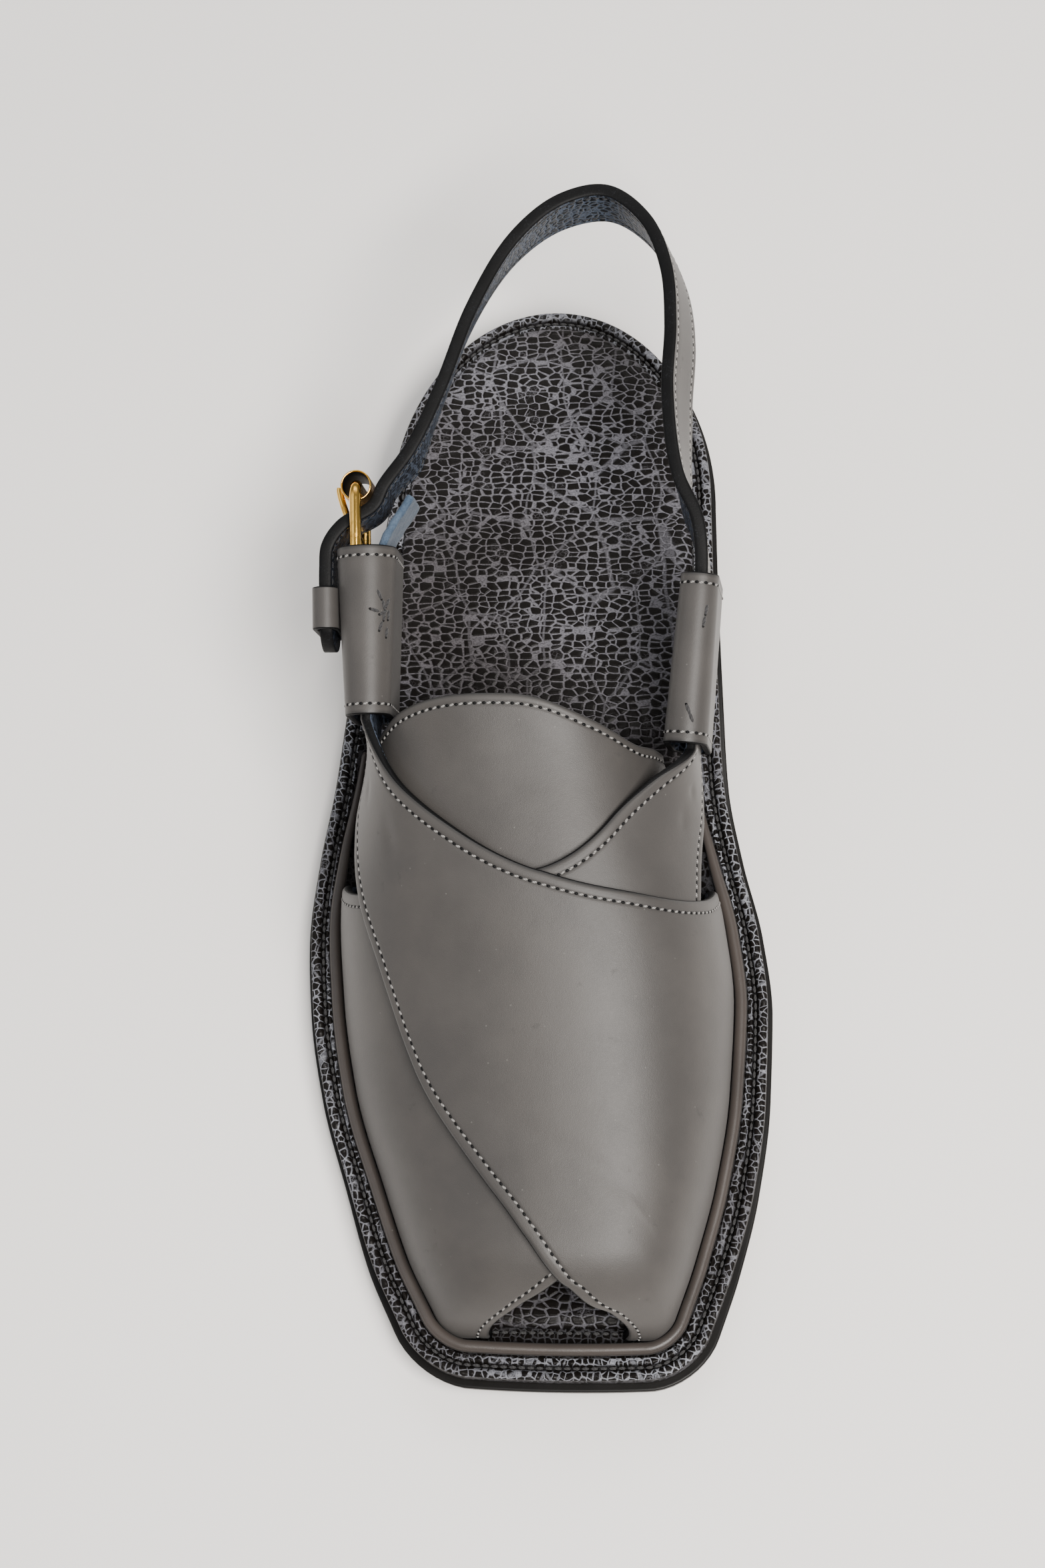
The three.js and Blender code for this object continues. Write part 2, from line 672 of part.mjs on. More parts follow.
// One strap: a four-sided patch on the last whose narrow end leaves it for the ankle
function strap({ topEdge, toeEdge }, ankle) {
  const top = edgeCurve(topEdge);
  const toe = edgeCurve(toeEdge);
  const feather = featherCurve(top(1), toe(1));
  const place = (u, w) => {
    const bulge = feather(w).sub(top(1).lerp(toe(1), w));
    return top(u).lerp(toe(u), w).addScaledVector(bulge, smoothstep(u, ANKLE_RELEASE, 1));
  };
  const surface = (u, w, outer) => {
    const { x: along, y: around, z: lift } = place(u, w);
    const normal = lastNormal(along, around);
    const raise = outer ? (lift + 1) * STRAP_WALL : lift * (STRAP_WALL - SINK);
    const point = lastPoint(along, around).addScaledVector(normal, raise);
    point.z += boardTop(alongAt(point.y)) - boardTop(along);
    return point;
  };
  const ankleLine = (back, w, outer) => anklePoint(
    ankle,
    back,
    ankle.strapOffset + (outer ? 0.5 : -0.5) * STRAP_WALL,
    (0.5 - w) * ANKLE_STRAP_WIDTH,
  );
  const point = (u, w, outer) => {
    const shift = ankleLine(-1, w, outer).sub(surface(0, w, outer));
    return surface(u, w, outer).addScaledVector(shift, 1 - smoothstep(u, 0, ANKLE_RELEASE));
  };
  const points = [];
  for (const outer of [true, false]) {
    for (let i = 0; i <= STRAP_STEPS; i += 1) {
      for (let j = 0; j <= STRAP_ROWS; j += 1) {
        const w = j / STRAP_ROWS;
        const u = (i - SLEEVE_STEPS) / (STRAP_STEPS - SLEEVE_STEPS);
        const held = SLEEVE_OVERLAP * (1 - i / SLEEVE_STEPS) - 1;
        points.push(i < SLEEVE_STEPS ? ankleLine(held, w, outer) : point(u, w, outer));
      }
    }
  }
  return plate(points, STRAP_STEPS, STRAP_ROWS);
}

// A closed plate from an outer grid of points followed by an inner one
function plate(points, steps, rows) {
  const stride = rows + 1;
  const layer = (steps + 1) * stride;
  const at = (i, j, inner) => i * stride + j + (inner ? layer : 0);
  const triangles = [];
  const quad = (a, b, c, d) => triangles.push([a, b, c], [a, c, d]);
  for (let i = 0; i < steps; i += 1) {
    for (let j = 0; j < rows; j += 1) {
      quad(at(i, j), at(i + 1, j), at(i + 1, j + 1), at(i, j + 1));
      quad(at(i, j, true), at(i, j + 1, true), at(i + 1, j + 1, true), at(i + 1, j, true));
    }
    quad(at(i, 0), at(i, 0, true), at(i + 1, 0, true), at(i + 1, 0));
    quad(at(i, rows), at(i + 1, rows), at(i + 1, rows, true), at(i, rows, true));
  }
  for (let j = 0; j < rows; j += 1) {
    quad(at(0, j), at(0, j + 1), at(0, j + 1, true), at(0, j, true));
    quad(at(steps, j), at(steps, j, true), at(steps, j + 1, true), at(steps, j + 1));
  }
  return solidGeometry(points, triangles);
}

function upper() {
  const over = toManifold(strap(OVER_STRAP, lateralAnkle));
  const under = toManifold(strap(UNDER_STRAP, medialAnkle));
  const pieces = over.add(under).decompose();
  pieces.sort((p, q) => q.volume() - p.volume());
  return fromManifold(pieces[0]);
}

// Tongue under both straps, its top edge in a wave
function tongue() {
  const reach = column(TONGUE_TOP, 'reach', 'around');
  const [first, last] = [TONGUE_TOP[0].around, TONGUE_TOP[TONGUE_TOP.length - 1].around];
  const steps = 12;
  const rows = 18;
  const points = [];
  for (const depth of [1.5 * FIT, 1.5 * FIT + TONGUE_WALL]) {
    for (let i = 0; i <= steps; i += 1) {
      for (let j = 0; j <= rows; j += 1) {
        const around = lerp(first, last, j / rows);
        const along = lerp(TONGUE_FRONT, reach(around), i / steps);
        points.push(lastPoint(along, around).addScaledVector(lastNormal(along, around), -depth));
      }
    }
  }
  return plate(points, steps, rows);
}

// Ankle pieces

// A flat ring's section with round ends, as points round its middle
const flatRing = (halfThickness, halfHeight) => {
  const turns = 7;
  const straight = halfHeight - halfThickness;
  return [1, -1].flatMap((way) => Array.from({ length: turns + 1 }, (_, i) => {
    const angle = (Math.PI * i) / turns;
    return [
      way * halfThickness * Math.cos(angle),
      way * (straight + halfThickness * Math.sin(angle)),
    ];
  }));
};

// A tube open at both ends, from stations that each have an outer and an inner ring of points
function openTube(stations) {
  const size = stations[0].outer.length;
  const points = stations.flatMap(({ outer, inner }) => [...outer, ...inner]);
  const triangles = [];
  const quad = (p, q, r, t) => triangles.push([p, q, r], [p, r, t]);
  for (let j = 0; j < size; j += 1) {
    const next = (j + 1) % size;
    for (let i = 0; i < stations.length - 1; i += 1) {
      const here = i * 2 * size;
      const there = here + 2 * size;
      quad(here + j, here + next, there + next, there + j);
      quad(here + size + next, here + size + j, there + size + j, there + size + next);
    }
    const end = (stations.length - 1) * 2 * size;
    quad(size + j, size + next, next, j);
    quad(end + j, end + next, end + size + next, end + size + j);
  }
  return solidGeometry(points, triangles);
}

// Leather sleeve round an ankle end, its thickness changing from the mouth to the far end
const sleeveHalf = ({ mouth, end }, back) => lerp(mouth, end, back / SLEEVE_LENGTH) / 2;

function sleeve(ankle, sizes) {
  const steps = 8;
  const stations = Array.from({ length: steps + 1 }, (_, i) => {
    const back = (SLEEVE_LENGTH * i) / steps;
    const half = sleeveHalf(sizes, back);
    const place = ([out, up]) => anklePoint(ankle, back, out, up);
    return {
      outer: flatRing(half, sleeveMiddle).map(place),
      inner: flatRing(half - SLEEVE_WALL, sleeveRoom).map(place),
    };
  });
  return openTube(stations);
}

// Buckle: a bent wire frame held in the lateral sleeve, a roller on its far bar, and a prong
const frameStart = SLEEVE_LENGTH - FRAME_GRIP;
const frameEnd = SLEEVE_LENGTH + FRAME_REACH;

function buckleFrame() {
  const corners = [
    [frameEnd, railHeight, 0], [frameStart, railHeight, 1],
    [frameStart, -railHeight, 2], [frameEnd, -railHeight, 3],
  ];
  const bends = 5;
  const stations = corners.flatMap(([back, up, turn]) => {
    const middleBack = back + (back > SLEEVE_LENGTH ? -WIRE_CORNER : WIRE_CORNER);
    const middleUp = up + (up > 0 ? -WIRE_CORNER : WIRE_CORNER);
    return Array.from({ length: bends }, (_, i) => {
      const angle = ((turn + i / (bends - 1)) * Math.PI) / 2;
      const away = [Math.cos(angle), Math.sin(angle)];
      return {
        middle: anklePoint(
          lateralAnkle,
          middleBack + WIRE_CORNER * away[0],
          FRAME_OFFSET,
          middleUp + WIRE_CORNER * away[1],
        ),
        across: lateralAnkle.back.clone().multiplyScalar(away[0])
          .addScaledVector(lateralAnkle.up, away[1]),
        up: lateralAnkle.out,
      };
    });
  });
  return sweep(stations, circle(WIRE / 2, WIRE_SIDES), true);
}

function buckleRoller() {
  const sides = 20;
  const half = railHeight - WIRE / 2 - FIT;
  const stations = [-half, half].map((up) => {
    const ringAt = (radius) => circle(radius, sides)
      .map(([a, b]) => anklePoint(lateralAnkle, frameEnd + a, FRAME_OFFSET + b, up));
    return { outer: ringAt(ROLLER / 2), inner: ringAt(ROLLER / 2 - ROLLER_WALL) };
  });
  return openTube(stations);
}

// The prong's path: from the held bar, out through the strap, and over the roller
function prongStations() {
  const rest = FRAME_OFFSET + ROLLER / 2 + FIT + PRONG / 2;
  const start = frameStart + WIRE / 2 + FIT;
  const curve = new THREE.CatmullRomCurve3([
    anklePoint(lateralAnkle, start, FRAME_OFFSET - 1, 0),
    anklePoint(lateralAnkle, lerp(start, frameEnd, 0.4), lerp(FRAME_OFFSET, rest, 0), 0),
    anklePoint(lateralAnkle, lerp(start, frameEnd, 0.72), lerp(FRAME_OFFSET, rest, 0.66), 0),
    anklePoint(lateralAnkle, frameEnd, rest, 0),
    anklePoint(lateralAnkle, frameEnd + 1, rest - 0.1, 0),
  ], false, 'centripetal');
  const steps = 14;
  return Array.from({ length: steps + 1 }, (_, i) => {
    const tangent = curve.getTangent(i / steps);
    return {
      middle: curve.getPoint(i / steps),
      across: new THREE.Vector3().crossVectors(tangent, lateralAnkle.up).normalize(),
      up: lateralAnkle.up,
    };
  });
}

const buckleProng = () => sweep(prongStations(), circle(PRONG / 2, WIRE_SIDES));

// Heel strap: one band from inside the medial sleeve round the heel, behind the roller, out through
// the buckle and down through the keeper
const sleeveOutside = (back) => sleeveHalf(LATERAL_SLEEVE, back);
const keeperInside = sleeveOutside(KEEPER_PLACE) + FIT + KEEPER_WALL;
const stripPlace = keeperInside + FIT + HEEL_STRAP_WALL / 2;

function heelStrapStations() {
  const edge = HEEL_STRAP_WIDTH / 2;
  const inMedial = MEDIAL_ANKLE.strapOffset - STRAP_WALL / 2 - 0.7 * FIT - HEEL_STRAP_WALL / 2;
  const behindRoller = FRAME_OFFSET - ROLLER / 2 - 5 * FIT - HEEL_STRAP_WALL / 2;
  const held = (ankle, places) => places.map(([back, out]) => (
    { point: anklePoint(ankle, back, out, edge), up: ankle.up }
  ));
  const around = HEEL_STRAP.map(({ along, across, height, lean }, i) => {
    const before = HEEL_STRAP[Math.max(i - 1, 0)];
    const after = HEEL_STRAP[Math.min(i + 1, HEEL_STRAP.length - 1)];
    const run = (after.across - before.across) * BALL_WIDTH;
    const way = vector(run, yAt(after.along) - yAt(before.along), 0).normalize();
    const out = vector(way.y, -way.x, 0);
    return {
      point: vector(across * BALL_WIDTH, yAt(along), height * HEEL_STRAP_HEIGHT),
      up: out.multiplyScalar(-Math.sin(radians(lean))).setZ(Math.cos(radians(lean))),
    };
  });
  const rows = [
    ...held(medialAnkle, [
      [SLEEVE_LENGTH * 0.18, inMedial],
      [SLEEVE_LENGTH * 0.32, inMedial],
      [SLEEVE_LENGTH * 0.69, inMedial + 1.6],
      [SLEEVE_LENGTH, inMedial + 2],
    ]),
    ...around,
    ...held(lateralAnkle, [
      [frameEnd, behindRoller],
      [frameEnd - ROLLER * 0.66, behindRoller + HEEL_STRAP_WALL * 0.85],
      [SLEEVE_LENGTH + FRAME_REACH * 0.38, FRAME_OFFSET + HEEL_STRAP_WALL * 1.15],
      [SLEEVE_LENGTH + FRAME_REACH * 0.06, stripPlace - 0.6],
      [SLEEVE_LENGTH - FRAME_REACH * 0.3, stripPlace],
      [KEEPER_PLACE, stripPlace],
      [TIP_PLACE, stripPlace],
    ]),
  ];
  const path = new THREE.CatmullRomCurve3(rows.map(({ point }) => point), false, 'centripetal');
  const ups = new THREE.CatmullRomCurve3(rows.map(({ up }) => up), false, 'centripetal');
  const rowSteps = 4;
  const steps = (rows.length - 1) * rowSteps;
  return Array.from({ length: steps + 1 }, (_, i) => {
    const tangent = path.getTangent(i / steps);
    const up = ups.getPoint(i / steps);
    up.addScaledVector(tangent, -up.dot(tangent)).normalize();
    const across = new THREE.Vector3().crossVectors(up, tangent).normalize();
    const left = ((steps - i) / rowSteps) * (KEEPER_PLACE - TIP_PLACE);
    const tall = clamp(Math.sqrt(1 - Math.max(1 - left / TIP_ROUNDING, 0) ** 2), 0.4, 1);
    return { middle: path.getPoint(i / steps).addScaledVector(up, -edge), across, up, tall };
  });
}

function heelStrap() {
  const band = toManifold(sweep(heelStrapStations(), bar(HEEL_STRAP_WALL, HEEL_STRAP_WIDTH, 0.6)));
  const hole = toManifold(sweep(prongStations(), circle(PRONG / 2 + 2 * FIT, WIRE_SIDES)));
  return fromManifold(band.subtract(hole));
}

// Keeper loop on the sleeve's outer face, round the strap's free end
function keeperLoop() {
  const roomHalf = HEEL_STRAP_WALL / 2 + FIT;
  const roomHeight = HEEL_STRAP_WIDTH / 2 + FIT + roomHalf;
  const stations = [-0.5, 0.5].map((end) => {
    const place = ([out, up]) => (
      anklePoint(lateralAnkle, KEEPER_PLACE + end * KEEPER_LENGTH, stripPlace + out, up)
    );
    return {
      outer: flatRing(roomHalf + KEEPER_WALL, roomHeight + KEEPER_WALL).map(place),
      inner: flatRing(roomHalf, roomHeight).map(place),
    };
  });
  return openTube(stations);
}

// Suede tab from inside the lateral sleeve to behind the buckle
function chafeTab() {
  const inside = LATERAL_ANKLE.strapOffset - STRAP_WALL / 2 - FIT - TAB_WALL / 2;
  const curve = new THREE.CatmullRomCurve3([
    anklePoint(lateralAnkle, 3, inside, 0),
    anklePoint(lateralAnkle, SLEEVE_LENGTH * 0.5, inside, 0),
    anklePoint(lateralAnkle, SLEEVE_LENGTH, inside - TAB_BEND * 0.13, 0),
    anklePoint(lateralAnkle, SLEEVE_LENGTH + TAB_REACH, inside - TAB_BEND, 0),
  ], false, 'centripetal');
  const steps = 12;
  const stations = Array.from({ length: steps + 1 }, (_, i) => {
    const tangent = curve.getTangent(i / steps);
    return {
      middle: curve.getPoint(i / steps),
      across: new THREE.Vector3().crossVectors(tangent, lateralAnkle.up).normalize(),
      up: lateralAnkle.up,
    };
  });
  return sweep(stations, bar(TAB_WALL, TAB_WIDTH, 0.5));
}

const materials = {
  leather: new THREE.MeshStandardMaterial({ color: 0x68655f, roughness: 0.5, metalness: 0 }),
  rubber: new THREE.MeshStandardMaterial({ color: 0x141312, roughness: 0.65, metalness: 0 }),
  crackle: new THREE.MeshStandardMaterial({ color: 0x35383d, roughness: 0.4, metalness: 0 }),
  edge: new THREE.MeshStandardMaterial({ color: 0x1a1a1b, roughness: 0.8, metalness: 0 }),
  suede: new THREE.MeshStandardMaterial({ color: 0x6a7f96, roughness: 0.95, metalness: 0 }),
  brass: new THREE.MeshStandardMaterial({ color: 0xc9962f, roughness: 0.25, metalness: 1 }),
};

const chappal = new THREE.Group();

function add(name, geometry, material) {
  const mesh = new THREE.Mesh(geometry, material);
  mesh.name = name;
  chappal.add(mesh);
}

add('outsole', outsole(), materials.rubber);
add('heel_lift', heelLift(), materials.rubber);
add('midsole', midsole(), materials.crackle);
add('insole', insole(), materials.crackle);
add('piping', piping(), materials.leather);
add('upper', upper(), materials.leather);
add('tongue', tongue(), materials.leather);
add('lateral_sleeve', sleeve(lateralAnkle, LATERAL_SLEEVE), materials.leather);
add('medial_sleeve', sleeve(medialAnkle, MEDIAL_SLEEVE), materials.leather);
add('heel_strap', heelStrap(), materials.edge);
add('keeper_loop', keeperLoop(), materials.leather);
add('chafe_tab', chafeTab(), materials.suede);
add('buckle_frame', buckleFrame(), materials.brass);
add('buckle_roller', buckleRoller(), materials.brass);
add('buckle_prong', buckleProng(), materials.brass);

// The origin is the middle of the whole shoe's footprint, on the floor
const box = new THREE.Box3().setFromObject(chappal);
const middle = box.getCenter(new THREE.Vector3());
for (const mesh of chappal.children) mesh.geometry.translate(-middle.x, -middle.y, -box.min.z);

export default chappal;
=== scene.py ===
"""Right-foot chappal with two wide crossed straps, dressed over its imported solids.

Shapes are worked out in millimetres with the toe towards -Y and the inner side of the foot at +X,
and turned to metres when a mesh is made. `along` is a share of the sole's length from the toe, and
`around` runs from -1 at the lateral feather line over the crown to +1 at the medial one.
"""

import logging
import math
from dataclasses import dataclass, field
from enum import Enum
from typing import Any, Callable, Sequence

import bpy
import numpy as np
from mathutils import Matrix, Vector

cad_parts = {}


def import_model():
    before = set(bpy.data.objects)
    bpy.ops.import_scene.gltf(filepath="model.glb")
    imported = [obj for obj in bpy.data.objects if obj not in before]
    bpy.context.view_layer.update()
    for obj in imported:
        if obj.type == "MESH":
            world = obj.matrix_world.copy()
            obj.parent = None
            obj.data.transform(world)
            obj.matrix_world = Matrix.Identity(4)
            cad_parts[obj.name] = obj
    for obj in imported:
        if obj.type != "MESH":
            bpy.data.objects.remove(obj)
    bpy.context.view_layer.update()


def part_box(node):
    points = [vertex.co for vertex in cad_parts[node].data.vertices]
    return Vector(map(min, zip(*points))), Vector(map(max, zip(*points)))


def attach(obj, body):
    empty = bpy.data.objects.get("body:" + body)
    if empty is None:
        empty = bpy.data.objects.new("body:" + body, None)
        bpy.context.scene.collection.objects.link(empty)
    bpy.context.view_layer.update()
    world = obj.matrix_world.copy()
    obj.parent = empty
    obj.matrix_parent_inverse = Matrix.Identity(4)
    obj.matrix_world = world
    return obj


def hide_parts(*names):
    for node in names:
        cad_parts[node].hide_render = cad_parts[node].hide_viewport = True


Array = np.ndarray
Curve = Callable[[Any], Array]
Colour = tuple[float, float, float, float]

MM = 0.001
BODY = "root"
UPWARDS = np.array([0.0, 0.0, 1.0])
LOG = logging.getLogger("chappal")


class Slot(Enum):
    """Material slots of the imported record."""

    LEATHER = "leather"
    CRACKLE = "crackle"
    STRAP = "strap_leather"
    RUBBER = "rubber"
    SUEDE = "suede"
    BRASS = "brass"


class Side(Enum):
    """The two sides of the shoe, as the sign of X."""

    MEDIAL = 1
    LATERAL = -1


# Shape helpers


def smoothstep(x: Any, low: float, high: float) -> Array:
    """Smooth rise from 0 at low to 1 at high."""
    t = np.clip((np.asarray(x, float) - low) / (high - low), 0.0, 1.0)
    return t * t * (3.0 - 2.0 * t)


def mix(a: Any, b: Any, t: Any) -> Array:
    """Straight blend from a to b."""
    return np.asarray(a) + (np.asarray(b) - np.asarray(a)) * t


def unit(vectors: Array) -> Array:
    """Vectors along the last axis, brought to length one."""
    size = np.linalg.norm(vectors, axis=-1, keepdims=True)
    return vectors / np.maximum(size, 1e-12)


def dent(x: Any, middle: float, width: float) -> Array:
    """A soft bell of height one round the middle."""
    return np.exp(-(((np.asarray(x, float) - middle) / width) ** 2))


def turns(count: int) -> Array:
    """Even angles once round."""
    return 2 * np.pi * np.arange(count) / count


def running(points: Array) -> Array:
    """Running length at each point of a line."""
    return np.concatenate([[0], np.cumsum(np.linalg.norm(np.diff(points, axis=0), axis=1))])


def same_inset(inset: float) -> Callable[..., Array]:
    """An inset that is the same all round the sole."""
    return lambda side, along: inset + 0 * np.asarray(along)


def table(names: str, *rows: Sequence[float]) -> dict[str, Array]:
    """Names the columns of a table of numbers.

    Args:
        names: the columns' names, separated by spaces.
        rows: the table's rows.

    Returns:
        Each column by its name.
    """
    values = np.array(rows, float)
    return {name: values[:, i] for i, name in enumerate(names.split())}


def column(rows: dict[str, Array], name: str, key: str = "along") -> Curve:
    """A shape-keeping cubic through one column of a table.

    Args:
        rows: the table.
        name: the column to read.
        key: the column that it is read against.

    Returns:
        A function of the key's value.
    """
    xs, ys = rows[key], rows[name]
    steps = np.diff(xs)
    slopes = np.diff(ys) / steps
    before = np.concatenate([slopes[:1], slopes])
    after = np.concatenate([slopes, slopes[-1:]])
    product = before * after
    total = np.where(np.abs(before + after) < 1e-12, 1.0, before + after)
    tangents = np.where(product > 0, 2 * product / total, 0.0)

    def value(x: Any) -> Array:
        """The column's value at x, carried on in a straight line past its ends.

        Args:
            x: values of the key.

        Returns:
            The column's value at each.
        """
        x = np.asarray(x, float)
        i = np.clip(np.searchsorted(xs, x, side="left") - 1, 0, len(xs) - 2)
        s = (x - xs[i]) / steps[i]
        rise = s * s * (3 - 2 * s)
        inner = ys[i] * (1 - rise) + ys[i + 1] * rise
        inner = inner + steps[i] * s * (1 - s) * ((1 - s) * tangents[i] - s * tangents[i + 1])
        low = ys[0] + tangents[0] * (x - xs[0])
        high = ys[-1] + tangents[-1] * (x - xs[-1])
        return np.where(x <= xs[0], low, np.where(x >= xs[-1], high, inner))

    return value


class Spline:
    """Centripetal curve through points of any width."""

    def __init__(self, points: Sequence[Sequence[float]]) -> None:
        """Keeps the points with one more beyond each end.

        Args:
            points: the points that the curve passes.
        """
        p = np.array(points, float)
        self.points = np.vstack([2 * p[0] - p[1], p, 2 * p[-1] - p[-2]])
        self.spans = len(p) - 1

    def at(self, t: Any) -> Array:
        """Points of the curve at shares from 0 to 1.

        Args:
            t: shares of the way along the curve.

        Returns:
            A row for each share.
        """
        place = np.clip(np.asarray(t, float), 0, 1) * self.spans
        i = np.minimum(place.astype(int), self.spans - 1)
        s = (place - i)[..., None]
        p0, p1, p2, p3 = (self.points[i + k] for k in range(4))
        gaps = [np.sum((b - a) ** 2, -1, keepdims=True) ** 0.25
                for a, b in ((p0, p1), (p1, p2), (p2, p3))]
        d1 = np.where(gaps[1] < 1e-4, 1.0, gaps[1])
        d0 = np.where(gaps[0] < 1e-4, d1, gaps[0])
        d2 = np.where(gaps[2] < 1e-4, d1, gaps[2])
        m1 = ((p1 - p0) / d0 - (p2 - p0) / (d0 + d1) + (p2 - p1) / d1) * d1
        m2 = ((p2 - p1) / d1 - (p3 - p1) / (d1 + d2) + (p3 - p2) / d2) * d1
        c2 = -3 * p1 + 3 * p2 - 2 * m1 - m2
        c3 = 2 * p1 - 2 * p2 + m1 + m2
        return p1 + m1 * s + c2 * s**2 + c3 * s**3

    def way(self, t: Any) -> Array:
        """Directions of the curve at shares from 0 to 1."""
        t = np.asarray(t, float)
        return unit(self.at(t + 1e-4) - self.at(t - 1e-4))


def loop_faces(rows: int, size: int, start: int = 0, closed: bool = False) -> list[tuple[int, ...]]:
    """Quads of a tube of rings.

    Args:
        rows: how many rings there are.
        size: points in each ring.
        start: index of the first point.
        closed: whether the last ring joins the first.

    Returns:
        Faces as tuples of indices, ring by ring.
    """
    i = np.arange(rows if closed else rows - 1)[:, None]
    j = np.arange(size)[None, :]
    here = start + i * size
    there = start + ((i + 1) % rows) * size
    ahead = (j + 1) % size
    quads = np.stack([here + j, here + ahead, there + ahead, there + j], -1)
    return [tuple(q) for q in quads.reshape(-1, 4).tolist()]


def end_faces(rows: int, size: int, start: int = 0) -> list[tuple[int, ...]]:
    """One face over each end of a tube of rings.

    Args:
        rows: how many rings there are.
        size: points in each ring.
        start: index of the first point.

    Returns:
        The first ring's face and the last ring's face.
    """
    last = start + (rows - 1) * size
    return [tuple(range(start + size - 1, start - 1, -1)), tuple(range(last, last + size))]


def plate_faces(steps: int, rows: int, lines: int = 0) -> tuple[list[tuple[int, ...]], list[int]]:
    """Faces of a plate: an outer and an inner grid, closed round all four edges.

    Args:
        steps: points of a grid down the plate.
        rows: points of a grid across it.
        lines: edge lines between the grids, each with a line on the first side, then on the last.

    Returns:
        The faces, and each one's finish: 0 on the outer grid, 1 on the edges, 2 on the inner grid.
    """
    under = steps * rows
    faces: list[tuple[int, ...]] = []
    kinds: list[int] = []
    for i in range(steps - 1):
        for j in range(rows - 1):
            a = i * rows + j
            b = under + a
            faces += [(a, a + rows, a + rows + 1, a + 1), (b, b + 1, b + rows + 1, b + rows)]
            kinds += [0, 2]
    for side, j in enumerate((0, rows - 1)):
        rims = [((2 * rows + side + 2 * k) * steps, 1) for k in range(lines)]
        chain = [(j, rows), *rims, (under + j, rows)]
        for (a, da), (b, db) in zip(chain, chain[1:]):
            for i in range(steps - 1):
                face = (a + i * da, b + i * db, b + (i + 1) * db, a + (i + 1) * da)
                faces.append(face[::-1] if side else face)
        for i in (0, steps - 1) if lines else ():
            face = tuple(a + i * da for a, da in chain)
            faces.append(face if (side == 0) == (i > 0) else face[::-1])
    for j in range(rows - 1):
        a = (steps - 1) * rows + j
        first = (j, j + 1, under + j + 1, under + j)
        faces += [first if lines else (*first[1:], j), (a, under + a, under + a + 1, a + 1)]
    kinds += [1] * (len(faces) - len(kinds))
    return faces, kinds


@dataclass
class Piece:
    """A mesh in the making: points in millimetres, faces, and a finish for each face."""

    name: str
    points: Array
    faces: list[tuple[int, ...]]
    finishes: list[Any]
    kinds: Sequence[int] | None = None
    marks: dict[str, Array] = field(default_factory=dict)

    def make(self, shift: float) -> bpy.types.Object:
        """Turns the piece into an object at the origin, with its faces outwards.

        Args:
            shift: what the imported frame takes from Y, in millimetres.

        Returns:
            The linked object.
        """
        points = np.asarray(self.points, float)
        faces = self.faces
        corners = np.array([face[:3] for face in faces])
        a, b, c = (points[corners[:, i]] for i in range(3))
        if np.sum((a - points.mean(0)) * np.cross(b - a, c - a)) < 0:
            faces = [tuple(reversed(face)) for face in faces]
        mesh = bpy.data.meshes.new(self.name)
        mesh.from_pydata(((points - (0, shift, 0)) * MM).tolist(), [], faces)
        for finish in self.finishes:
            mesh.materials.append(finish)
        if self.kinds is not None:
            mesh.polygons.foreach_set("material_index", list(self.kinds))
        mesh.polygons.foreach_set("use_smooth", [True] * len(faces))
        for name, values in self.marks.items():
            mark = mesh.attributes.new(name, "FLOAT", "POINT")
            mark.data.foreach_set("value", np.asarray(values, np.float32).ravel())
        mesh.update()
        made = bpy.data.objects.new(self.name, mesh)
        bpy.context.scene.collection.objects.link(made)
        return made


# Sole, last and ankles: the forms that every piece stands on


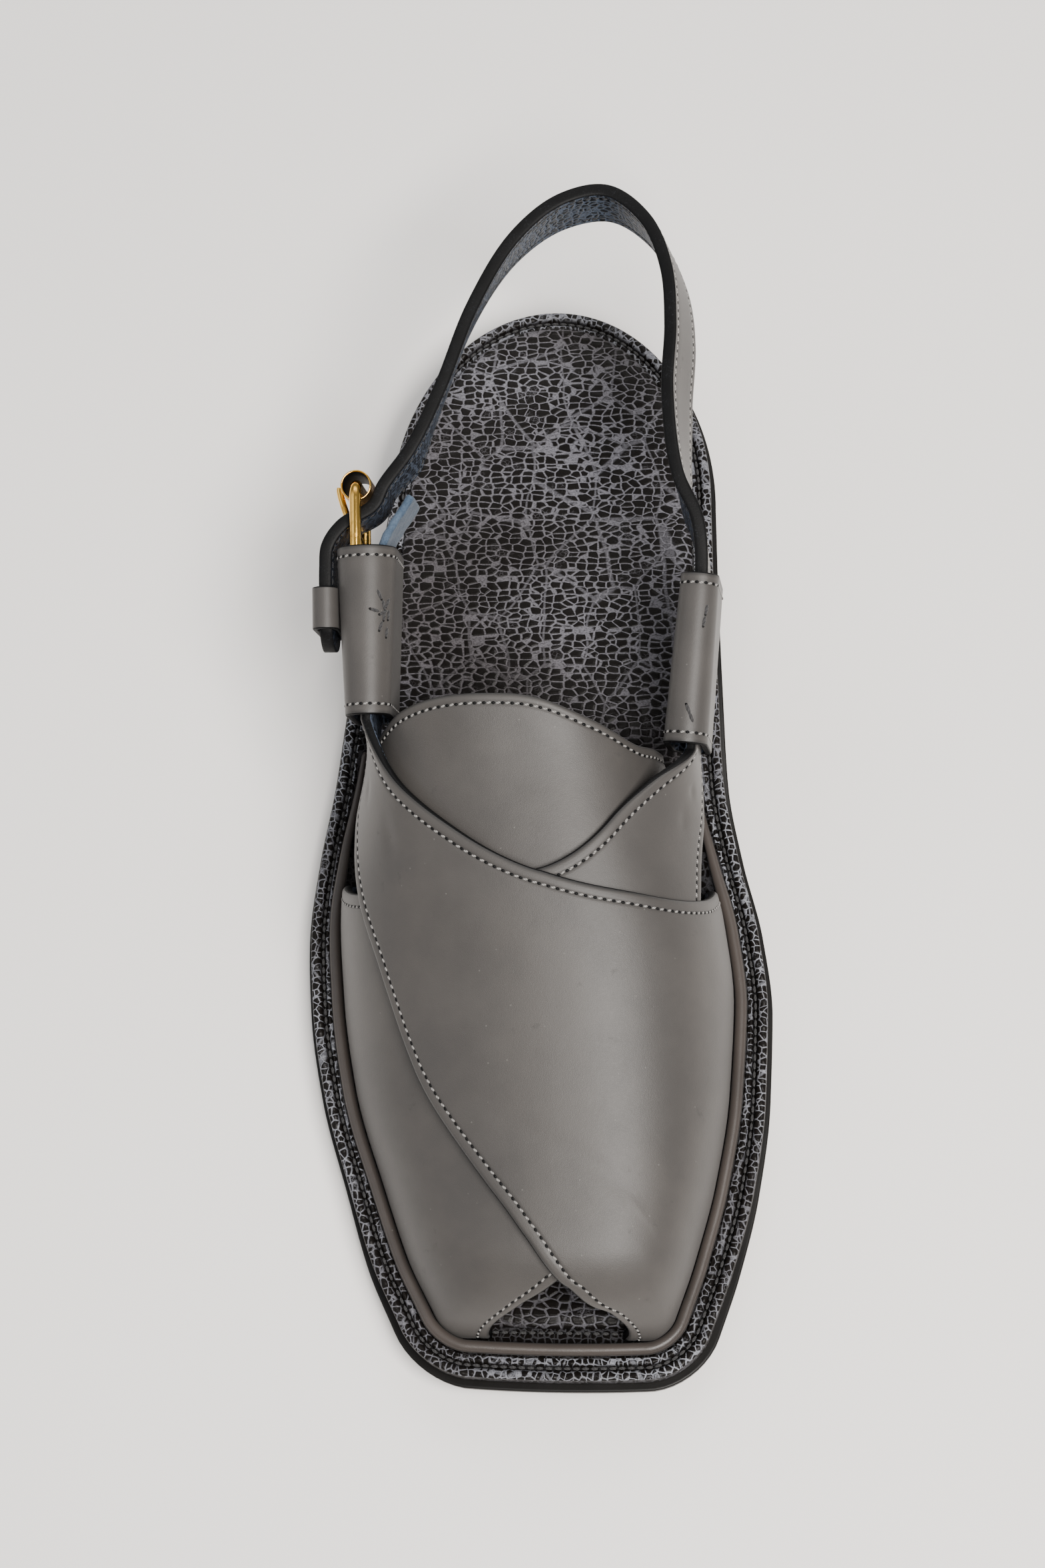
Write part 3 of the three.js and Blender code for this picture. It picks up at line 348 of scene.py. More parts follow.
@dataclass(frozen=True)
class SoleShape:
    """Outline and heights of the sole."""

    length: float = 300.0
    ball: float = 123.6
    rubber: float = 5.5
    heel: float = 9.0
    spring: float = 4.0
    board: float = 4.8
    fit: float = 0.3
    toe_corner: float = 14.0
    min_corner: float = 4.0
    ledge: float = 1.2
    outer_bead: float = 2.5
    groove: float = 0.9
    inner_bead: float = 1.8
    piping: float = 3.2
    strap_wall: float = 3.0
    heel_start: float = 0.8
    piping_end: float = 0.565
    rim_change: float = 0.06
    bow: float = 0.6
    toe_step: float = 0.8

    sides = table(
        "along lateral medial",
        (0.045, -0.274, 0.392), (0.10, -0.337, 0.434), (0.17, -0.393, 0.473),
        (0.25, -0.453, 0.496), (0.33, -0.488, 0.500), (0.40, -0.499, 0.479),
        (0.47, -0.485, 0.436), (0.54, -0.456, 0.403), (0.62, -0.429, 0.391),
        (0.72, -0.383, 0.379), (0.80, -0.361, 0.372),
    )
    piping_run = table(
        "along lateral medial",
        (0.00, 0.078, 0.078), (0.12, 0.072, 0.077), (0.22, 0.063, 0.072),
        (0.33, 0.066, 0.066), (0.44, 0.062, 0.064), (0.56, 0.060, 0.074),
    )

    def y(self, along: Any) -> Array:
        """Y of a place along the sole."""
        return (np.asarray(along, float) - 0.5) * self.length

    def along(self, y: Any) -> Array:
        """Place along the sole of a Y."""
        return np.asarray(y, float) / self.length + 0.5

    def underside(self, along: Any) -> Array:
        """Height of the outsole's underside: flat at ball and heel, curved at waist and toe."""
        spring = np.maximum(0, (0.18 - np.asarray(along, float)) / 0.18)
        return self.heel * smoothstep(along, 0.465, 0.68) + self.spring * spring**2

    def board_top(self, along: Any) -> Array:
        """Height of the footbed board's top."""
        return self.underside(along) + self.rubber + self.fit + self.board

    def edge(self, side: Side, along: Any, inset: Any) -> Array:
        """X of the sole's edge.

        Args:
            side: the side of the shoe.
            along: places along the sole.
            inset: distance inside the edge.

        Returns:
            X at each place.
        """
        along = np.asarray(along, float)
        medial, lateral = column(self.sides, "medial"), column(self.sides, "lateral")
        share = medial if side is Side.MEDIAL else lateral
        step = 0.004
        slope = (share(along + step) - share(along - step)) * self.ball / (2 * step * self.length)
        front = share(along) * self.ball - side.value * inset * np.hypot(1, slope)
        far, near = lateral(self.heel_start) * self.ball, medial(self.heel_start) * self.ball
        reach = (1 - self.heel_start) * self.length - inset
        way = np.clip((along - self.heel_start) * self.length / reach, 0, 1)
        half = (near - far) / 2 - inset
        back = (near + far) / 2 + side.value * half * np.sqrt(1 - way**2)
        return np.where(along > self.heel_start, back, front)

    def half_ring(self, side: Side, inset: Callable[..., Any], counts: Sequence[int]) -> Array:
        """One side of a layer's outline, from the heel's middle to the toe's front.

        Args:
            side: the side of the shoe.
            inset: distance inside the edge, from side and place.
            counts: points round the heel, down the side and round the corner.

        Returns:
            Rows of x and place along the sole.
        """
        heel, down, corner = counts
        heel_inset = float(inset(side, 1.0))
        reach = (1 - self.heel_start) * self.length - heel_inset
        turn = np.pi / 2 * np.arange(heel) / heel
        along = self.heel_start + reach * np.cos(turn) / self.length
        rows = [np.stack([self.edge(side, along, heel_inset), along], -1)]
        toe_inset = float(inset(side, 0.0))
        front = toe_inset / self.length
        radius = max(self.toe_corner - 0.7 * toe_inset, self.min_corner)
        along = np.linspace(self.heel_start, front + radius / self.length, down + 1)
        x = self.edge(side, along, inset(side, along))
        rows.append(np.stack([x, along], -1))
        start = np.array([x[-1], along[-1]])
        tip = float(self.edge(side, front, toe_inset))
        a = np.array([mix(start[0], tip, 0.55), mix(start[1], front, 0.55)])
        b = np.array([tip - side.value * radius * 0.45, front])
        c = np.array([tip - side.value * radius, front])
        t = (np.arange(1, corner + 1) / corner)[:, None]
        bend = start * (1 - t) ** 3 + 3 * a * t * (1 - t) ** 2 + 3 * b * t**2 * (1 - t) + c * t**3
        rows.append(bend)
        return np.vstack(rows)

    def front_line(self, first: Array, last: Array, count: int) -> Array:
        """The slightly bowed line over the toe's front.

        Args:
            first: x and place of the line's start.
            last: x and place of its end.
            count: points between the two.

        Returns:
            Rows of x and place along the sole.
        """
        share = np.linspace(0, 1, count + 2)[1:-1, None]
        front = mix(first, last, share)
        front[:, 1:] -= self.bow * (1 - (2 * share - 1) ** 2) / self.length
        return front

    def ring(self, inset: Any, z: Any, counts: Sequence[int]) -> Array:
        """A closed outline: the heel's middle, the medial side, the toe, then the lateral side.

        Args:
            inset: distance inside the edge, a number or a function of side and place.
            z: height, as a function of the place along the sole.
            counts: points round the heel, down the side, round the corner and over the front.

        Returns:
            Points of the ring.
        """
        inset_at = inset if callable(inset) else same_inset(inset)
        medial = self.half_ring(Side.MEDIAL, inset_at, counts[:3])
        lateral = self.half_ring(Side.LATERAL, inset_at, counts[:3])
        front = self.front_line(medial[-1], lateral[-1], counts[3])
        flat = np.vstack([medial, front, lateral[1:][::-1]])
        return np.stack([flat[:, 0], self.y(flat[:, 1]), z(flat[:, 1]) + 0 * flat[:, 0]], -1)

    def piping_inset(self, side: Side, along: Any) -> Array:
        """Distance from the sole's edge to the middle of the piping."""
        name = "medial" if side is Side.MEDIAL else "lateral"
        return column(self.piping_run, name)(along) * self.ball

    def feather_inset(self, side: Side, along: Any) -> Array:
        """Distance from the sole's edge to the last's feather line."""
        return self.piping_inset(side, along) + self.piping / 2 + self.fit + self.strap_wall

    def rim_width(self) -> float:
        """Width of the whole stitched rim."""
        return self.ledge + self.outer_bead + self.groove + self.inner_bead

    def rim_inset(self, inset: float) -> Callable[..., Array]:
        """A rim line's distance from the sole's edge, wider round the toe."""
        return lambda side, along: inset + self.toe_step * (1 - smoothstep(along, 0.03, 0.2))

    def bead_end(self, side: Side, along: Any) -> Array:
        """Where the inner bead ends: at the piping, or at the insole behind it.

        Args:
            side: the side of the shoe.
            along: places along the sole.

        Returns:
            Distance from the sole's edge at each place.
        """
        along = np.asarray(along, float)
        held = self.piping_inset(side, np.minimum(along, self.piping_end))
        free = smoothstep(along, self.piping_end, self.piping_end + self.rim_change)
        return mix(held - self.piping / 2 - self.fit, self.rim_width(), free)


@dataclass(frozen=True)
class LastShape:
    """The last inside the upper."""

    sole: SoleShape
    instep: float = 62.0
    toe_rounding: float = 18.0
    upright: float = 4.0

    rows = table(
        "along height shift square",
        (0.05, 0.34, 0.03, 2.7), (0.10, 0.44, 0.05, 2.5), (0.15, 0.50, 0.06, 2.35),
        (0.22, 0.58, 0.07, 2.25), (0.30, 0.69, 0.07, 2.2), (0.40, 0.84, 0.045, 2.3),
        (0.50, 0.97, 0.01, 2.6), (0.56, 1.03, -0.02, 2.8), (0.64, 1.08, -0.03, 2.8),
    )

    def toe_front(self) -> float:
        """Place of the last's front end."""
        insets = [float(self.sole.feather_inset(side, 0.0)) for side in Side]
        return sum(insets) / 2 / self.sole.length

    def corner(self) -> float:
        """Radius of the last's toe corners.

        Returns:
            The radius in millimetres.
        """
        sole = self.sole
        inset = float(sole.feather_inset(Side.MEDIAL, 0.0))
        return max(sole.toe_corner - 0.7 * inset, sole.min_corner)

    def feather(self, side: Side, along: Any) -> Array:
        """X of the feather line, where the upper meets the board.

        Args:
            side: the side of the shoe.
            along: places along the sole.

        Returns:
            X at each place.
        """
        sole, along = self.sole, np.asarray(along, float)
        front, radius = self.toe_front(), self.corner()
        top = front + radius / sole.length
        start = float(sole.edge(side, top, sole.feather_inset(side, top)))
        tip = float(sole.edge(side, front, sole.feather_inset(side, front)))
        down = np.clip((top - along) / (top - front), 0, 1)
        flat = tip - side.value * radius
        bend = flat + (mix(start, tip, down) - flat) * np.sqrt(np.maximum(0, 1 - down**2.2))
        return np.where(along >= top, sole.edge(side, along, sole.feather_inset(side, along)), bend)

    def point(self, along: Any, around: Any) -> Array:
        """Points of the last's surface.

        Args:
            along: places along the sole.
            around: places round the last.

        Returns:
            Points in millimetres.
        """
        sole, front = self.sole, self.toe_front()
        station = np.maximum(along, front)
        far, near = self.feather(Side.LATERAL, station), self.feather(Side.MEDIAL, station)
        square = column(self.rows, "square")(station)
        angle = np.clip(around, -1, 1) * np.pi / 2
        out = np.sign(angle) * np.abs(np.sin(angle)) ** (2 / square)
        rise = np.maximum(np.cos(angle), 0) ** (2 / square)
        nose = np.clip((station - front) * sole.length / self.toe_rounding, 0, 1)
        nose_rise = (1 - (1 - nose) ** 2.4) ** (1 / 2.4)
        x = (near + far) / 2 + (near - far) / 2 * out
        x = x + column(self.rows, "shift")(station) * sole.ball * rise**2 * nose_rise
        height = self.instep * column(self.rows, "height")(station) * rise * nose_rise
        z = sole.board_top(station) + sole.fit + height
        return np.stack([x, sole.y(station), z], -1)

    def normal(self, along: Any, around: Any) -> Array:
        """Directions away from the foot, level at the feather line.

        Args:
            along: places along the sole.
            around: places round the last.

        Returns:
            Unit vectors.
        """
        sole, front = self.sole, self.toe_front()
        da, dr = 0.003, 0.015
        station = np.maximum(along, front + da)
        place = np.clip(around, -1 + dr, 1 - dr)
        ahead = self.point(station + da, place) - self.point(station - da, place)
        sideways = self.point(station, place + dr) - self.point(station, place - dr)
        normal = unit(np.cross(sideways, ahead))
        foot = self.point(along, around)[..., 2] - sole.fit
        foot = foot - sole.board_top(np.maximum(along, front))
        spans = [self.feather(s, station + da) - self.feather(s, station - da) for s in Side]
        right = np.asarray(around) >= 0
        sign = np.where(right, 1.0, -1.0)
        span = np.where(right, spans[0], spans[1])
        level = -sign * span / (2 * da * sole.length)
        out = unit(np.stack([sign, level, 0 * sign], -1))
        turn = np.clip(1 - (np.asarray(along) - front) * sole.length / self.corner(), 0, 1)
        turn = (turn * (1 - np.abs(around) ** 3))[..., None]
        out = unit(mix(out, np.array([0.0, -1.0, 0.0]), turn))
        return unit(mix(out, normal, smoothstep(foot, 0, self.upright)[..., None]))


@dataclass(frozen=True)
class AnkleShape:
    """Frame of one ankle: the middle of its sleeve's top fold at the mouth, and its directions."""

    side: Side
    x: float
    end_x: float
    along: float
    height: float
    lean: float
    strap_offset: float
    mouth: float
    end: float
    ball: float = 123.6
    sole_length: float = 300.0
    slope: float = 15.0
    length: float = 43.5
    wall: float = 1.8
    room: float = 13.9

    def frame(self) -> tuple[Array, Array, Array, Array]:
        """Top point, and the directions back, out and up.

        Returns:
            The top point, then three unit vectors.
        """
        rise, sign = math.radians(self.slope), self.side.value
        sway = (self.end_x - self.x) * self.ball / self.length
        back = unit(np.array([sway, math.cos(rise), math.sin(rise)]))
        level = unit(np.array([sign, 0, 0]) - sign * back[0] * back)
        upright = np.cross(level, back) * sign
        cos, sin = math.cos(math.radians(self.lean)), math.sin(math.radians(self.lean))
        up, out = upright * cos - level * sin, level * cos + upright * sin
        top = np.array([self.x * self.ball, (self.along - 0.5) * self.sole_length, self.height])
        return top, back, out, up

    def point(self, back: Any, out: Any, up: Any) -> Array:
        """Points back from the mouth, out from the middle plane and up from the middle.

        Args:
            back: distances back from the mouth.
            out: distances out from the middle plane.
            up: distances up from the sleeve's middle.

        Returns:
            Points in millimetres.
        """
        top, b, o, u = self.frame()
        back, out, up = np.broadcast_arrays(np.asarray(back, float), out, up)
        rise = up - self.middle()
        return top + back[..., None] * b + out[..., None] * o + rise[..., None] * u

    def middle(self) -> float:
        """Depth of the sleeve's middle under its fold."""
        return self.room + self.wall

    def half(self, back: Any) -> Array:
        """Half thickness of the sleeve."""
        return mix(self.mouth, self.end, np.asarray(back, float) / self.length) / 2


def flat_ring(half_thickness: Any, half_height: Any, size: int = 72) -> tuple[Array, Array]:
    """A flat ring's section with round ends.

    Args:
        half_thickness: half of the section's thickness.
        half_height: half of its height.
        size: how many points it has.

    Returns:
        Distances out and up of each point.
    """
    arc = size // 2
    angle = np.pi * np.arange(arc) / (arc - 1)
    straight = half_height - half_thickness
    out = np.concatenate([half_thickness * np.cos(angle), -half_thickness * np.cos(angle)])
    up = straight + half_thickness * np.sin(angle)
    return out, np.concatenate([up, -up])


# Finishes


class Shade:
    """Short way to add and join nodes in one tree."""

    def __init__(self, tree: bpy.types.NodeTree) -> None:
        """Keeps the tree."""
        self.tree = tree

    def add(self, kind: str, inputs: dict[Any, Any] | None = None, **settings: Any) -> Any:
        """Adds a node.

        Args:
            kind: the node's type.
            inputs: values or sockets by the input's name or number.
            settings: the node's own settings.

        Returns:
            The node.
        """
        node = self.tree.nodes.new(kind)
        for name, value in settings.items():
            setattr(node, name, value)
        for key, value in (inputs or {}).items():
            if isinstance(value, bpy.types.NodeSocket):
                self.tree.links.new(value, node.inputs[key])
            else:
                node.inputs[key].default_value = value
        return node

    def math(self, operation: str, a: Any, b: Any = 0.0, c: Any = 0.0) -> Any:
        """Output of a Math node."""
        return self.add("ShaderNodeMath", {0: a, 1: b, 2: c}, operation=operation).outputs[0]

    def span(self, value: Any, low: float, high: float, start: float = 0.0, end: float = 1.0) -> Any:
        """Output of a clamped smooth Map Range node.

        Args:
            value: the socket to map.
            low: value at which the change starts.
            high: value at which it ends.
            start: output up to low.
            end: output from high on.

        Returns:
            The mapped value's socket.
        """
        inputs = {0: value, 1: low, 2: high, 3: start, 4: end}
        node = self.add("ShaderNodeMapRange", inputs, interpolation_type="SMOOTHSTEP")
        return node.outputs[0]

    def blend(self, factor: Any, a: Any, b: Any) -> Any:
        """Output of a colour Mix node."""
        return self.add("ShaderNodeMix", {0: factor, 6: a, 7: b}, data_type="RGBA").outputs[2]

    def times(self, a: Any, b: Any) -> Any:
        """Output of a Math node that multiplies."""
        return self.math("MULTIPLY", a, b)

    def vector(self, operation: str, a: Any, b: Any) -> Any:
        """Output of a Vector Math node, whose scale is b where it scales."""
        inputs = {0: a, "Scale" if operation == "SCALE" else 1: b}
        return self.add("ShaderNodeVectorMath", inputs, operation=operation).outputs[0]

    def group(self, build: Callable[[], Any], name: str, place: Any, **values: float) -> Any:
        """Outputs of a shared group, placed in this tree with its own values."""
        tree = bpy.data.node_groups.get(name) or build()
        return self.add("ShaderNodeGroup", {"Place": place, **values}, node_tree=tree).outputs

    def noise(self, place: Any, scale: Any, detail: float = 3.0, rough: float = 0.55) -> Any:
        """Value of a Noise Texture node."""
        inputs = {"Vector": place, "Scale": scale, "Detail": detail, "Roughness": rough}
        return self.add("ShaderNodeTexNoise", inputs).outputs[0]

    def cells(self, place: Any, scale: Any, feature: str = "F1", loose: float = 1.0) -> Any:
        """Distance of a Voronoi Texture node."""
        inputs = {"Vector": place, "Scale": scale, "Randomness": loose}
        return self.add("ShaderNodeTexVoronoi", inputs, feature=feature).outputs["Distance"]

    def place(self) -> Any:
        """Object coordinates."""
        return self.add("ShaderNodeTexCoord").outputs["Object"]

    def mark(self, name: str) -> Any:
        """Value of a mesh's own attribute."""
        return self.add("ShaderNodeAttribute", attribute_name=name).outputs["Fac"]

    def bump(self, height: Any, depth: float, normal: Any = None) -> Any:
        """Normal of a Bump node whose height of one is depth millimetres.

        Args:
            height: the height's socket.
            depth: what a height of one stands for.
            normal: a normal to add to, or none.

        Returns:
            The normal's socket.
        """
        inputs = {"Strength": 1.0, "Distance": depth * MM, "Height": height}
        if normal is not None:
            inputs["Normal"] = normal
        return self.add("ShaderNodeBump", inputs).outputs[0]


def new_group(
    name: str, inputs: dict[str, tuple[str, Any]], outputs: dict[str, str]
) -> tuple[Any, Shade, Any, Any]:
    """Starts a shader node group.

    Args:
        name: the group's name.
        inputs: socket type and start value by name.
        outputs: socket type by name.

    Returns:
        The group, its tree helper, its input node and its output node.
    """
    tree = bpy.data.node_groups.new(name, "ShaderNodeTree")
    for key, (kind, value) in inputs.items():
        socket = tree.interface.new_socket(key, in_out="INPUT", socket_type=kind)
        if value is not None:
            socket.default_value = value
    for key, kind in outputs.items():
        tree.interface.new_socket(key, in_out="OUTPUT", socket_type=kind)
    return tree, Shade(tree), tree.nodes.new("NodeGroupInput"), tree.nodes.new("NodeGroupOutput")


def wear_group() -> Any:
    """Slow change of tone and small soft scuffs.

    Returns:
        A group with the outputs Tone and Scuff.
    """
    tree, shade, source, sink = new_group(
        "wear",
        {"Place": ("NodeSocketVector", None), "Patch": ("NodeSocketFloat", 40.0)},
        {"Tone": "NodeSocketFloat", "Scuff": "NodeSocketFloat"},
    )
    place, patch = source.outputs["Place"], source.outputs["Patch"]
    tone = shade.noise(place, patch, 4.0, 0.6)
    fine = shade.noise(place, shade.times(patch, 9.0), 5.0, 0.65)
    broad = shade.noise(place, shade.times(patch, 1.7), 2.0)
    scuff = shade.times(shade.span(fine, 0.6, 0.74), shade.span(broad, 0.5, 0.66))
    tree.links.new(tone, sink.inputs["Tone"])
    tree.links.new(scuff, sink.inputs["Scuff"])
    return tree


def grain_group() -> Any:
    """Fine hide grain: closed cells, pores and hairline wrinkles.

    Returns:
        A group with the outputs Height and Pores.
    """
    tree, shade, source, sink = new_group(
        "hide_grain",
        {"Place": ("NodeSocketVector", None), "Cells": ("NodeSocketFloat", 2600.0)},
        {"Height": "NodeSocketFloat", "Pores": "NodeSocketFloat"},
    )
    place, cells = source.outputs["Place"], source.outputs["Cells"]
    net = shade.span(shade.cells(place, cells, "DISTANCE_TO_EDGE"), 0.0, 0.22)
    soft = shade.noise(place, shade.times(cells, 0.35), 4.0)
    pores = shade.span(shade.cells(place, shade.times(cells, 0.22)), 0.03, 0.16, 1.0, 0.0)
    height = shade.math("MULTIPLY_ADD", net, 0.45, shade.times(soft, 0.9))
    height = shade.math("SUBTRACT", height, shade.times(pores, 0.5))
    tree.links.new(height, sink.inputs["Height"])
    tree.links.new(pores, sink.inputs["Pores"])
    return tree


def crackle_group() -> Any:
    """Printed crackle: dark pebbles in a light, fibrous network with long streaks.

    Returns:
        A group with the outputs Network, Height and Shade.
    """
    tree, shade, source, sink = new_group(
        "crackle_print",
        {"Place": ("NodeSocketVector", None), "Cells": ("NodeSocketFloat", 400.0),
         "Lines": ("NodeSocketFloat", 0.2)},
        {"Network": "NodeSocketFloat", "Height": "NodeSocketFloat", "Shade": "NodeSocketFloat"},
    )
    place, cells = source.outputs["Place"], source.outputs["Cells"]

    def bent_by(scale: float, reach: float) -> Any:
        """Place moved by noise of a scale and reach given in cells.

        Args:
            scale: the noise's scale, for one cell.
            reach: how far it moves a place, in cells.

        Returns:
            The moved place's socket.
        """
        inputs = {"Vector": place, "Scale": shade.times(cells, scale), "Detail": 1.0}
        warp = shade.add("ShaderNodeTexNoise", inputs).outputs["Color"]
        warp = shade.vector("SUBTRACT", warp, (0.5, 0.5, 0.5))
        warp = shade.vector("SCALE", warp, shade.math("DIVIDE", reach, cells))
        return shade.vector("ADD", place, shade.vector("MULTIPLY", warp, (1, 1, 0.2)))

    bent = bent_by(0.45, 0.8)
    edge = shade.cells(bent, cells, "DISTANCE_TO_EDGE", 0.66)
    swell = shade.noise(place, shade.times(cells, 0.14), 2.0)
    width = shade.math("MULTIPLY_ADD", swell, source.outputs["Lines"], 0.015)
    net = shade.span(shade.math("DIVIDE", edge, width), 0.6, 1.15, 1.0, 0.0)
    corner = shade.span(shade.cells(bent, cells, "F1", 0.66), 0.66, 0.80)
    net = shade.math("MAXIMUM", net, corner)
    fibre = shade.cells(bent, shade.times(cells, 2.7), "DISTANCE_TO_EDGE")
    fibre = shade.span(fibre, 0.03, 0.12, 1.0, 0.0)
    fade = shade.span(shade.noise(place, shade.times(cells, 0.35), 3.0), 0.56, 0.70)
    fibre = shade.times(fibre, shade.times(fade, 0.5))
    drawn = shade.vector("MULTIPLY", bent_by(0.1, 2.0), (1.0, 0.42, 1.0))
    streak = shade.cells(drawn, shade.times(cells, 0.20), "DISTANCE_TO_EDGE")
    streak = shade.span(streak, 0.008, 0.026, 0.6, 0.0)
    grit = shade.noise(place, shade.times(cells, 5.0), 3.0, 0.7)
    network = shade.math("MAXIMUM", shade.math("MAXIMUM", net, fibre), streak)
    network = shade.times(network, shade.span(grit, 0.28, 0.6, 0.3, 1.0))
    height = shade.math("MULTIPLY_ADD", shade.span(edge, 0.0, 0.28), 0.8, shade.times(grit, 0.2))
    tone = shade.noise(place, shade.times(cells, 0.028), 1.0)
    tree.links.new(network, sink.inputs["Network"])
    tree.links.new(height, sink.inputs["Height"])
    tree.links.new(tone, sink.inputs["Shade"])
    return tree


def new_finish(name: str, **plain: Any) -> tuple[bpy.types.Material, Shade, Any]:
    """Starts a material.

    Args:
        name: the material's name.
        plain: constant values for the shader's own sockets, with _ for a space.

    Returns:
        The material, its tree helper and its shader.
    """
    material = bpy.data.materials.new(name)
    material.use_nodes = True
    shader = material.node_tree.nodes["Principled BSDF"]
    for key, value in plain.items():
        shader.inputs[key.replace("_", " ")].default_value = value
    return material, Shade(material.node_tree), shader


@dataclass(frozen=True)
class SmoothLeather:
    """Smooth satin hide with fine grain, soft tone changes, scuffs, dark burnished edges and painted
    shade along seams.
    """

    name: str = "grey_leather"
    colour: Colour = (0.056, 0.051, 0.047, 1.0)
    deep: Colour = (0.044, 0.0405, 0.038, 1.0)
    burnt_and_shade: Colour = (0.010, 0.010, 0.010, 1.0)
    speck: Colour = (0.13, 0.125, 0.115, 1.0)
    roughness: float = 0.49
    patch: float = 26.0

    def build(self) -> bpy.types.Material:
        """Builds the material.

        Returns:
            The material.
        """
        material, shade, shader = new_finish(
            self.name, Specular_IOR_Level=0.36, Coat_Roughness=0.36, Sheen_Weight=0.03)
        place, link = shade.place(), material.node_tree.links.new
        wear = shade.group(wear_group, "wear", place, Patch=self.patch)
        grain = shade.group(grain_group, "hide_grain", place)
        tone = shade.span(wear["Tone"], 0.34, 0.68)
        base = shade.blend(tone, self.deep, self.colour)
        speck = shade.span(shade.cells(place, 210.0), 0.02, 0.06, 0.55, 0.0)
        base = shade.blend(speck, base, self.speck)
        base = shade.blend(shade.times(wear["Scuff"], 0.35), base, self.burnt_and_shade)
        # The mesh's mark darkens burnished edges and paints shade along seam lines and on the piping's
        # flanks.
        base = shade.blend(shade.times(shade.mark("burnish_and_shade"), 0.85), base, self.burnt_and_shade)
        link(base, shader.inputs["Base Color"])
        rough = shade.math("MULTIPLY_ADD", wear["Tone"], 0.12, self.roughness - 0.06)
        link(shade.math("MULTIPLY_ADD", wear["Scuff"], 0.15, rough), shader.inputs["Roughness"])
        link(shade.times(tone, 0.09), shader.inputs["Coat Weight"])
        soft = shade.bump(shade.noise(place, 160.0, 3.0), 0.05)
        link(shade.bump(grain["Height"], 0.022, soft), shader.inputs["Normal"])
        return material


@dataclass(frozen=True)
class CrackleLeather:
    """Glossy pebbled leather, dark with a light printed network."""

    name: str = "crackle_leather"
    cells: float = 400.0
    pebble: Colour = (0.0060, 0.0050, 0.0045, 1.0)
    network: Colour = (0.058, 0.051, 0.052, 1.0)
    bright: Colour = (0.180, 0.178, 0.202, 1.0)
    lines: float = 0.145
    relief: float = 0.22
    stretch: tuple[float, float, float] = (0.84, 1.34, 0.03)
    layer: float = 0.00075

    def build(self) -> bpy.types.Material:
        """Builds the material.

        Returns:
            The material.
        """
        material, shade, shader = new_finish(self.name, Specular_IOR_Level=0.09, Coat_Roughness=0.3)
        link = material.node_tree.links.new
        inputs = {"Vector": shade.place(), "Location": (0, 0, self.layer), "Scale": self.stretch}
        place = shade.add("ShaderNodeMapping", inputs).outputs[0]
        group = shade.group(crackle_group, "crackle_print", place, Cells=self.cells, Lines=self.lines)
        tone = shade.span(group["Shade"], 0.3, 0.7)
        light = shade.blend(tone, self.network, self.bright)
        base = shade.blend(group["Network"], self.pebble, light)
        # The mesh's mark paints shade in the rim's groove, at the inner bead's foot and on the insole
        # towards the toe.
        base = shade.blend(shade.times(shade.mark("burnish_and_shade"), 0.92), base, self.pebble)
        link(base, shader.inputs["Base Color"])
        rough = shade.math("MULTIPLY_ADD", group["Network"], 0.16, 0.34)
        link(rough, shader.inputs["Roughness"])
        link(shade.times(tone, 0.06), shader.inputs["Coat Weight"])
        link(shade.bump(group["Height"], self.relief), shader.inputs["Normal"])
        return material


@dataclass(frozen=True)
class DarkEdge:
    """Painted cut edge of leather: near black, with a few fibres showing through."""

    name: str = "painted_edge"
    colour: Colour = (0.0030, 0.0030, 0.0032, 1.0)
    fibre: Colour = (0.016, 0.017, 0.020, 1.0)

    def build(self) -> bpy.types.Material:
        """Builds the material.

        Returns:
            The material.
        """
        material, shade, shader = new_finish(self.name, Specular_IOR_Level=0.12)
        place, link = shade.place(), material.node_tree.links.new
        fine = shade.noise(place, 2400.0, 4.0, 0.7)
        patch = shade.noise(place, 260.0, 3.0)
        show = shade.times(shade.span(fine, 0.52, 0.72), shade.span(patch, 0.42, 0.66))
        link(shade.blend(show, self.colour, self.fibre), shader.inputs["Base Color"])
        link(shade.math("MULTIPLY_ADD", patch, 0.25, 0.38), shader.inputs["Roughness"])
        link(shade.bump(fine, 0.05), shader.inputs["Normal"])
        return material


@dataclass(frozen=True)
class BlackRubber:
    """Moulded black rubber: satin, faintly dusty, with a fine ribbed tread underneath."""

    name: str = "black_rubber"
    colour: Colour = (0.0032, 0.0030, 0.0029, 1.0)
    dust: Colour = (0.012, 0.010, 0.008, 1.0)
    ribs: float = 2.4
    patch: float = 60.0

    def build(self) -> bpy.types.Material:
        """Builds the material.

        Returns:
            The material.
        """
        material, shade, shader = new_finish(self.name, Specular_IOR_Level=0.15, Coat_Roughness=0.3)
        place, link = shade.place(), material.node_tree.links.new
        wear = shade.group(wear_group, "wear", place, Patch=self.patch)
        dusty = shade.times(wear["Tone"], 0.35)
        dusty = shade.math("ADD", dusty, shade.times(wear["Scuff"], 0.5))
        link(shade.blend(dusty, self.colour, self.dust), shader.inputs["Base Color"])
        link(shade.math("MULTIPLY_ADD", wear["Tone"], 0.3, 0.30), shader.inputs["Roughness"])
        link(shade.times(wear["Tone"], 0.12), shader.inputs["Coat Weight"])
        split = shade.add("ShaderNodeSeparateXYZ", {0: place})
        turn = 2 * math.pi / (self.ribs * MM)
        waves = []
        for kind in ("ADD", "SUBTRACT"):
            slant = shade.math(kind, split.outputs[0], split.outputs[1])
            waves.append(shade.math("SINE", shade.times(slant, turn * 0.7)))
        tread = shade.span(shade.math("MAXIMUM", waves[0], waves[1]), 0.2, 0.8)
        fine = shade.bump(shade.noise(place, 2600.0, 4.0), 0.02)
        tread = shade.times(tread, shade.mark("tread"))
        link(shade.bump(tread, 0.7, fine), shader.inputs["Normal"])
        return material


